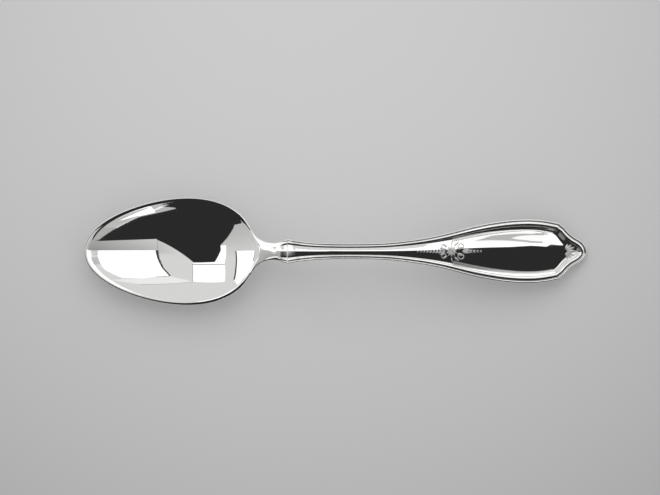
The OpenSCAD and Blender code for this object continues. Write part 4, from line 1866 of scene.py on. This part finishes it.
def toward(azimuth: float, elevation: float) -> tuple:
    """Direction at an azimuth and an elevation in degrees, as a corner of a SkyShape."""
    a, e = math.radians(azimuth), math.radians(elevation)
    return math.cos(e) * math.cos(a), math.cos(e) * math.sin(a), math.sin(e)


@dataclass(frozen=True)
class SkyShape:
    """A flat convex shape in the surroundings, such as a white panel or a black flag.

    Attributes:
        corners: its corners: (x, y) in metres at one metre over the spoon, or a direction.
        light: brightness.
        soft: width of its soft edge in radians.
    """

    corners: Corners
    light: float
    soft: float = 0.012

    def rays(self) -> list:
        """Unit directions of the corners."""
        return [Vector(c if len(c) == 3 else (*c, 1.0)).normalized() for c in self.corners]

    def inward(self) -> list:
        """For each edge, the plane through it and the spoon.

        Returns:
            the planes' normals, which point into the shape.
        """
        rays = self.rays()
        middle = sum(rays, Vector())
        normals = [a.cross(b).normalized() for a, b in zip(rays, rays[1:] + rays[:1])]
        return [n if n.dot(middle) > 0 else -n for n in normals]


@dataclass(frozen=True)
class Card:
    """A glowing card that only some pieces mirror.

    Attributes:
        shape: its place and brightness.
        nodes: the pieces that mirror it.
        shares: the share of the light at each corner, all of it where none is given.
    """

    shape: SkyShape
    nodes: tuple
    shares: tuple = ()

    def lights(self) -> list:
        """Brightness at the corners."""
        shares = self.shares or (1.0,) * len(self.shape.corners)
        return [self.shape.light * share for share in shares]


def sky_edge_group() -> bpy.types.NodeTree:
    """Soft mask of the directions on one side of a plane.

    Returns:
        the group, with inputs Direction, Inward and Softness and the output Mask.
    """
    graph, given, made = group_tree(
        "Sky edge",
        (
            ("Direction", "NodeSocketVector", None),
            ("Inward", "NodeSocketVector", None),
            ("Softness", "NodeSocketFloat", 0.012),
        ),
        (("Mask", "NodeSocketFloat"),),
    )
    off = graph.vector("DOT_PRODUCT", given.outputs["Direction"], given.outputs["Inward"])
    edge = graph.math("DIVIDE", off.outputs["Value"], given.outputs["Softness"])
    graph.put(made.inputs["Mask"], graph.step(edge, -0.5, 0.5))
    return graph.tree


def shapes(light: float, *corners: Corners, soft: float = SkyShape.soft) -> tuple:
    """Sky shapes of the same brightness, one for each set of corners."""
    return tuple(SkyShape(given, light, soft) for given in corners)


def cards(nodes: tuple, *rows: tuple) -> tuple:
    """Cards for the same pieces.

    Args:
        nodes: the pieces that mirror them.
        rows: for each card its brightness, its corners and, where they differ, its shares.
    Returns:
        the cards.
    """
    return tuple(
        Card(SkyShape(corners, light), nodes, *shares) for light, corners, *shares in rows
    )


WHITE, PALE, GREY, DARK = 1.25, 0.7, 0.5, 0.024

# A brighter stretch of the far wall
GLOW = shapes(
    0.88, ((-0.36, 1.68), (0.11, 1.85), (0.74, 2.12), (1.0, 1.7), (0.6, 1.38), (0.2, 1.2)),
    soft=0.03,
)
# The far side's window in two panes, and the thin bar between them
WINDOW = shapes(
    WHITE,
    ((-0.24, 0.54), (-0.36, 1.68), (-2.3, 2.6), (-1.41, 0.71)),
    ((-0.23, 0.5), (-1.08, 0.62), (-1.08, 0.0), (-0.3, 0.3)),
) + shapes(0.3, ((-0.23, 0.5), (-0.24, 0.54), (-1.41, 0.71), (-1.38, 0.66)))
# Thin seams of the wall beside the window and over the brighter stretch
SEAMS = shapes(
    0.3, ((-0.222, 0.5), (-0.236, 0.52), (-0.355, 1.68), (-0.338, 1.68)), soft=0.006
) + shapes(
    0.36,
    ((-0.36, 1.68), (-0.36, 1.71), (0.11, 1.88), (0.11, 1.85)),
    ((0.11, 1.85), (0.11, 1.88), (0.74, 2.17), (0.74, 2.12)),
)
# A greyer stretch that shows as a wedge on the handle
WEDGE = shapes(0.5, ((0.44, 0.24), (0.44, 0.6), (1.0, 0.6), (1.0, 0.24)))
# Black flags over and behind the camera, down to the table on the near side
FLAGS = shapes(
    DARK,
    ((-0.1, 0.12), (0.62, 0.13), (0.62, -1.2), (-0.1, -1.2)),
    ((0.6, 0.13), (0.71, 0.17), (1.27, 0.13), (2.6, 0.04), (2.6, -1.2), (0.6, -1.2)),
    ((0.84, -1.1), (2.6, -1.1), (3.2, -7.0), (0.75, -7.0)),
    ((0.84, -0.4), (0.8, -2.36), (0.55, -3.1), (-0.05, -4.6), (-0.4, -0.8), (0.34, -0.49)),
    ((0.36, -0.5), (-0.25, 0.45), (-0.86, 0.48), (-1.08, -0.06), (-1.08, -6.0), (0.0, -6.0)),
    ((-1.04, -0.04), (-3.1, -2.1), toward(-134, -8), toward(-90, -8), toward(-88, 12)),
    (toward(-142, 14), toward(-152, -8), toward(-120, -8), toward(-120, 20)),
    (toward(-80, 9.5), (0.05, -4.5), toward(-92, 12), toward(-95, -8), toward(-80, -8)),
)
# A white panel beyond the bowl's tip with its dark frame, and the frame of the bowl's panel
FRAMES = (
    shapes(
        WHITE,
        (
            (-2.5, -0.02), (-3.1, 1.4), (-4.5, 3.7), toward(139, 2), toward(146, -4),
            toward(171, -6), toward(181, 1),
        ),
    )
    + shapes(
        DARK,
        ((-2.35, -0.02), (-2.57, -0.02), (-3.18, 1.36), (-2.85, 1.3)),
        ((-2.85, 1.3), (-3.18, 1.36), (-4.68, 3.72), (-4.04, 3.33)),
    )
    + shapes(
        DARK,
        ((0.31, -0.04), (0.335, -0.04), (0.33, 0.24), (0.302, 0.24)),
        ((0.302, 0.24), (0.33, 0.24), (0.292, 0.7), (0.265, 0.7)),
        ((0.265, 0.7), (0.292, 0.7), (0.212, 1.16), (0.175, 1.15)),
        soft=0.004,
    )
    + shapes(DARK, ((0.19, 1.155), (0.215, 1.2), (0.4, 1.27), (0.4, 1.235)), soft=0.006)
)
SKY = GLOW + WINDOW + SEAMS + WEDGE + FLAGS + FRAMES

HEEL = ("bowl_heel", "neck")
FIELD = ("stem", "handle_panel", "terminal")
HUSKS = ("husk_row_left", "husk_row_right")
HANDLE = FIELD + ("flower_spray", *HUSKS, "end_palmette")
# What the bowl mirrors: a white panel, a low window on the near side, and paler shapes where the
# handle mirrors black flags
BOWL_CARDS = cards(
    ("bowl",),
    (
        1.2,
        (
            (0.338, -0.04), (0.33, 0.24), (0.292, 0.7), (0.212, 1.16), (0.4, 1.22), (0.6, 1.4),
            (0.81, 1.43), (0.865, 0.88), (0.84, 0.38), (0.828, -0.04),
        ),
    ),
    (0.6, ((0.828, -0.04), (0.833, 0.155), (1.27, 0.13), (1.5, 0.11), (1.5, -0.04))),
    (
        0.7, ((0.333, -0.46), (0.308, -0.04), (0.303, 0.1256), (-0.038, 0.121)),
        (0.8, 0.75, 0.85, 1.0),
    ),
    (
        0.62, ((0.338, -0.5), (0.311, -0.04), (0.84, -0.04), (0.84, -0.46)),
        (1.0, 0.8, 0.45, 0.62),
    ),
    (0.42, ((0.84, -0.46), (0.84, -0.04), (1.6, -0.04), (1.6, -0.46)), (0.9, 0.66, 1.0, 1.0)),
    (0.42, ((0.86, -0.46), (0.82, -1.25), (2.6, -1.25), (2.6, -0.46))),
    (0.5, ((0.82, -1.25), (0.8, -2.36), (0.5, -7.0), (3.2, -7.0), (2.6, -1.25))),
    (0.8, ((0.95, -1.87), (1.08, -5.57), (0.64, -3.15), (0.87, -2.43))),
    (0.55, ((-1.08, 0.62), (-1.38, 0.66), (-1.4, -0.32), (-1.08, -0.26))),
)
# What the slim lengths mirror: a white panel, a grey card below it with a narrow strip for the
# neck, and a card that fades for the shoulder
NECK_CARDS = (
    cards(
        (*HEEL, "shoulder", "stem"),
        (
            1.15,
            (
                (-0.1, 0.02), (-0.1, 0.12), (-0.27, 0.46), (-0.9, 0.5), (-1.08, 0.5),
                (-1.08, 0.13), (-0.85, 0.09), (-0.5, 0.03),
            ),
        ),
    )
    + cards(
        HEEL,
        (
            0.6,
            (
                (-0.1, 0.02), (-0.5, 0.03), (-0.85, 0.09), (-1.08, 0.13), (-1.08, -0.06),
                (-1.5, -0.52), (-1.6, -1.1), (-0.2, -1.1),
            ),
            (0.7, 0.8, 0.8, 0.9, 0.9, 0.6, 0.5, 0.4),
        ),
        (0.6, ((-0.55, -0.62), (-0.55, -0.86), (-1.3, -1.05), (-1.3, -0.8))),
    )
    + cards(
        ("shoulder",),
        (0.7, ((-0.1, 0.02), (-0.9, 0.06), (-0.9, -0.9), (-0.1, -0.9)), (0.1, 1.0, 0.3, 0.0)),
    )
)
# What the handle mirrors: pale cards over the frame that only the bowl shows, white strips round
# the grey wedge and the oval, a dim card for the end and lighter ones for the ornament
HANDLE_CARDS = (
    cards(
        HANDLE,
        (0.7, ((0.303, 0.12), (0.33, 0.12), (0.33, 0.24), (0.302, 0.24))),
        (0.7, ((0.302, 0.24), (0.33, 0.24), (0.292, 0.7), (0.265, 0.7))),
        (0.7, ((0.265, 0.7), (0.292, 0.7), (0.212, 1.16), (0.175, 1.15))),
    )
    + cards(
        FIELD,
        (
            0.55,
            (
                (-0.25, 0.12), (-0.25, 0.41), (0.445, 0.41), (0.6, 0.33), (0.71, 0.26),
                (0.96, 0.26), (0.96, 0.15), (0.71, 0.17), (0.6, 0.13),
            ),
        ),
        (
            0.55,
            ((-0.25, 0.41), (-0.25, 0.6), (0.82, 0.6), (0.82, 0.57), (0.52, 0.54), (0.445, 0.41)),
        ),
        (
            0.55,
            (
                (0.62, 0.41), (0.66, 0.47), (0.74, 0.51), (0.96, 0.525), (0.96, 0.3),
                (0.72, 0.32), (0.65, 0.36),
            ),
        ),
        (0.55, ((0.96, 0.15), (0.96, 0.525), (1.3, 0.5), (3.0, 0.5), (3.0, 0.1), (1.27, 0.13))),
        (0.5, ((0.28, 0.6), (0.28, 1.0), (0.95, 1.0), (0.95, 0.6))),
    )
    + cards(HANDLE, (0.5, ((0.8, 1.4), (2.6, 1.4), (3.2, 4.5), (0.8, 4.5))))
    + cards(
        ("terminal", "handle_panel"),
        (0.2, ((-0.6, -0.25), (0.05, -0.25), (0.05, -1.1), (-0.6, -1.6))),
    )
    + cards(
        ("flower_spray", "end_palmette"),
        (0.35, ((-0.4, 0.1), (1.4, 0.1), (1.4, -1.1), (-0.4, -1.1))),
    )
    + cards(HUSKS, (0.8, ((0.5, 0.6), (2.6, 0.6), (3.0, -5.0), (0.7, -5.0))))
)


@dataclass(frozen=True)
class Studio:
    """Floor, surroundings, cards, lamp and camera.

    Attributes:
        floor: brightness of the floor's colour in its middle.
        floor_half: half of the floor's side.
        middle: centre of the pool of lamp light painted on the floor, its brightest place.
        fall: how fast the painted light fades, with the square of the distance from there.
        darkest: the most that the painted falloff darkens the floor, as a share.
        backdrop: brightness that the camera sees past the floor.
        ambient: brightness of the surroundings for bounced light.
        near: how far towards the far side the surroundings are pale and grey.
        shapes: what stands in the sky, each over the ones before it.
        cards: glowing cards for some of the pieces.
        card_height: height of the first card.
        card_step: how much further each next card is.
        lamp: power, side and place of the lamp.
        frame_px: width and height of the photo.
        spoon_px: where the spoon's middle is in it.
        scale_mm_px: millimetres to a pixel there.
        camera_height: height of the camera.
        sharp_height: height at which that scale holds.
        sensor_mm: width of the camera's sensor.
    """

    floor: float = 0.86
    floor_half: float = 3.0
    middle: tuple = (-0.01, 0.06, 0.0)
    fall: float = 9.5
    darkest: float = 0.3
    backdrop: float = 0.57
    ambient: float = 0.53
    near: tuple = (0.3, -0.6)
    shapes: tuple = SKY
    cards: tuple = BOWL_CARDS + NECK_CARDS + HANDLE_CARDS
    card_height: float = 20.0
    card_step: float = 0.05
    lamp: tuple = (0.55, 0.45, (-0.03, 0.3, 0.42))
    frame_px: tuple = (660, 495)
    spoon_px: tuple = (336.25, 251.3)
    scale_mm_px: float = 0.29732
    camera_height: float = 0.9
    sharp_height: float = 0.008
    sensor_mm: float = 36.0

    def build(self, looks: dict) -> None:
        """Sets up the whole studio round the spoon.

        Args:
            looks: the spoon's pieces by name.
        """
        self._floor()
        self._sky()
        self._cards(looks)
        self._lamp()
        self._camera()
        self._settings()

    def _floor(self) -> None:
        """A pale table top with a painted pool of lamp light, brightest a little behind the spoon.
        """
        mesh = bpy.data.meshes.new("floor_mesh")
        r = self.floor_half
        mesh.from_pydata([(-r, -r, 0), (r, -r, 0), (r, r, 0), (-r, r, 0)], [], [(0, 1, 2, 3)])
        floor = bpy.data.objects.new("floor", mesh)
        bpy.context.scene.collection.objects.link(floor)
        material = bpy.data.materials.new("floor_paper")
        material.use_nodes = True
        shader = material.node_tree.nodes["Principled BSDF"]
        graph = Graph(material.node_tree)
        place = graph.node("ShaderNodeTexCoord").outputs["Object"]
        off = graph.vector("SUBTRACT", place, self.middle).outputs["Vector"]
        square = graph.vector("DOT_PRODUCT", off, off).outputs["Value"]
        # Painted light: the floor's colour darkens away from its middle, standing in for the
        # lamp's falloff.
        painted_falloff = graph.math("MINIMUM", graph.math("MULTIPLY", square, self.fall), self.darkest)
        graph.put(shader.inputs["Base Color"], graph.blend(painted_falloff, grey(self.floor), grey(0.0)))
        graph.put(shader.inputs["Roughness"], 0.75)
        graph.put(shader.inputs["Specular IOR Level"], 0.2)
        mesh.materials.append(material)

    def _sky(self) -> None:
        """Pale surroundings, greyer towards the near side, with the shapes over them."""
        world = bpy.data.worlds.new("studio")
        bpy.context.scene.world = world
        world.use_nodes = True
        world.node_tree.nodes.clear()
        graph = Graph(world.node_tree)
        way = graph.node("ShaderNodeTexCoord").outputs["Generated"]
        parts = graph.node("ShaderNodeSeparateXYZ", Vector=way)
        near = graph.step(parts.outputs["Y"], *self.near)
        colour = graph.blend(near, grey(PALE), grey(GREY))
        edges = sky_edge_group()
        for shape in self.shapes:
            mask = 1.0
            for inward in shape.inward():
                side = graph.node("ShaderNodeGroup", node_tree=edges)
                graph.put(side.inputs["Direction"], way)
                graph.put(side.inputs["Inward"], inward)
                graph.put(side.inputs["Softness"], shape.soft)
                mask = graph.math("MULTIPLY", mask, side.outputs["Mask"])
            colour = graph.blend(mask, colour, grey(shape.light))
        ray = graph.node("ShaderNodeLightPath").outputs
        colour = graph.blend(ray["Is Diffuse Ray"], colour, grey(self.ambient))
        colour = graph.blend(ray["Is Camera Ray"], colour, grey(self.backdrop))
        shader = graph.node("ShaderNodeBackground", Strength=1.0)
        graph.put(shader.inputs["Color"], colour)
        out = graph.node("ShaderNodeOutputWorld")
        graph.put(out.inputs["Surface"], shader.outputs[0])

    def _cards(self, looks: dict) -> None:
        """Far glowing cards, each linked to its pieces so that no other piece mirrors it.

        Args:
            looks: the spoon's pieces by name.
        """
        glow = self._glow()
        for number, card in enumerate(self.cards):
            lit = bpy.data.collections.new(f"lit_by_card_{number}")
            for node in card.nodes:
                lit.objects.link(looks[node])
            mesh = bpy.data.meshes.new(f"card_{number}_mesh")
            height = self.card_height + number * self.card_step
            corners = [ray * (height / ray.z) for ray in card.shape.rays()]
            mesh.from_pydata(corners, [], [tuple(range(len(corners)))])
            made = bpy.data.objects.new(f"card_{number}", mesh)
            bpy.context.scene.collection.objects.link(made)
            light = mesh.attributes.new("light", "FLOAT", "POINT")
            light.data.foreach_set("value", card.lights())
            mesh.materials.append(glow)
            made.visible_camera = made.visible_shadow = made.visible_diffuse = False
            made.light_linking.receiver_collection = lit

    def _glow(self) -> bpy.types.Material:
        """See-through glow of the cards, as bright as each card's corners say.

        Returns:
            the material.
        """
        material = bpy.data.materials.new("card_glow")
        material.use_nodes = True
        material.node_tree.nodes.clear()
        graph = Graph(material.node_tree)
        glow = graph.node("ShaderNodeEmission")
        light = graph.node("ShaderNodeAttribute", attribute_name="light").outputs["Fac"]
        graph.put(glow.inputs["Strength"], light)
        both = graph.node("ShaderNodeAddShader")
        graph.put(both.inputs[0], graph.node("ShaderNodeBsdfTransparent").outputs[0])
        graph.put(both.inputs[1], glow.outputs[0])
        out = graph.node("ShaderNodeOutputMaterial")
        graph.put(out.inputs["Surface"], both.outputs[0])
        return material

    def _lamp(self) -> None:
        """A soft lamp over the far side, which the spoon doesn't mirror."""
        data = bpy.data.lights.new("key", "AREA")
        data.energy, data.size, place = self.lamp
        data.specular_factor = 0.0
        lamp = bpy.data.objects.new("key", data)
        bpy.context.scene.collection.objects.link(lamp)
        lamp.location = place
        lamp.rotation_euler = (-lamp.location).to_track_quat("-Z", "Y").to_euler()
        lamp.visible_glossy = False
        lamp.visible_camera = False

    def _camera(self) -> None:
        """Straight above the spoon, with the far side upwards."""
        data = bpy.data.cameras.new("camera")
        pixel = self.scale_mm_px * MM
        width, height = self.frame_px
        data.sensor_width = self.sensor_mm
        data.lens = self.sensor_mm * (self.camera_height - self.sharp_height) / (width * pixel)
        data.clip_end = 20.0
        camera = bpy.data.objects.new("camera", data)
        bpy.context.scene.collection.objects.link(camera)
        x, y = self.spoon_px
        camera.location = ((width / 2 - x) * pixel, (y - height / 2) * pixel, self.camera_height)
        bpy.context.scene.camera = camera

    def _settings(self) -> None:
        """Plain colours, and enough bounces for silver that mirrors itself."""
        scene = bpy.context.scene
        scene.view_settings.view_transform = "Standard"
        scene.cycles.glossy_bounces = 8


@dataclass
class Teaspoon:
    """The whole spoon, made in the shop."""

    shop: Workshop

    def build(self) -> dict:
        """Builds every piece from the bowl to the end.

        Returns:
            the pieces' objects by name.
        """
        f = self.shop.form
        grid = LongGrid(f)
        pieces = [
            Bowl(self.shop, grid),
            Length(self.shop, grid, "bowl", f.look_cut_x, f.cut_x, "bowl_heel"),
            Length(self.shop, grid, "neck", f.cut_x, f.collar_x[0]),
            Length(self.shop, grid, "shoulder", *f.collar_x),
            Length(self.shop, grid, "stem", f.collar_x[1], f.stem_to_x),
            Length(self.shop, grid, "handle_panel", f.stem_to_x, f.ear_x),
            Terminal(self.shop, grid),
            FlowerSpray(self.shop),
            HuskRow(self.shop, Side.LEFT),
            HuskRow(self.shop, Side.RIGHT),
            EndPalmette(self.shop),
        ]
        return {piece.name: piece.build() for piece in pieces}


def main() -> None:
    """Builds the looks and the studio."""
    hairlines = Hairlines().build()
    shop = Workshop(Form(), BODY_SILVER.build(hairlines), RELIEF_SILVER.build(hairlines))
    looks = Teaspoon(shop).build()
    Studio().build(looks)
    bpy.context.view_layer.update()


if __name__ == "__main__":
    main()
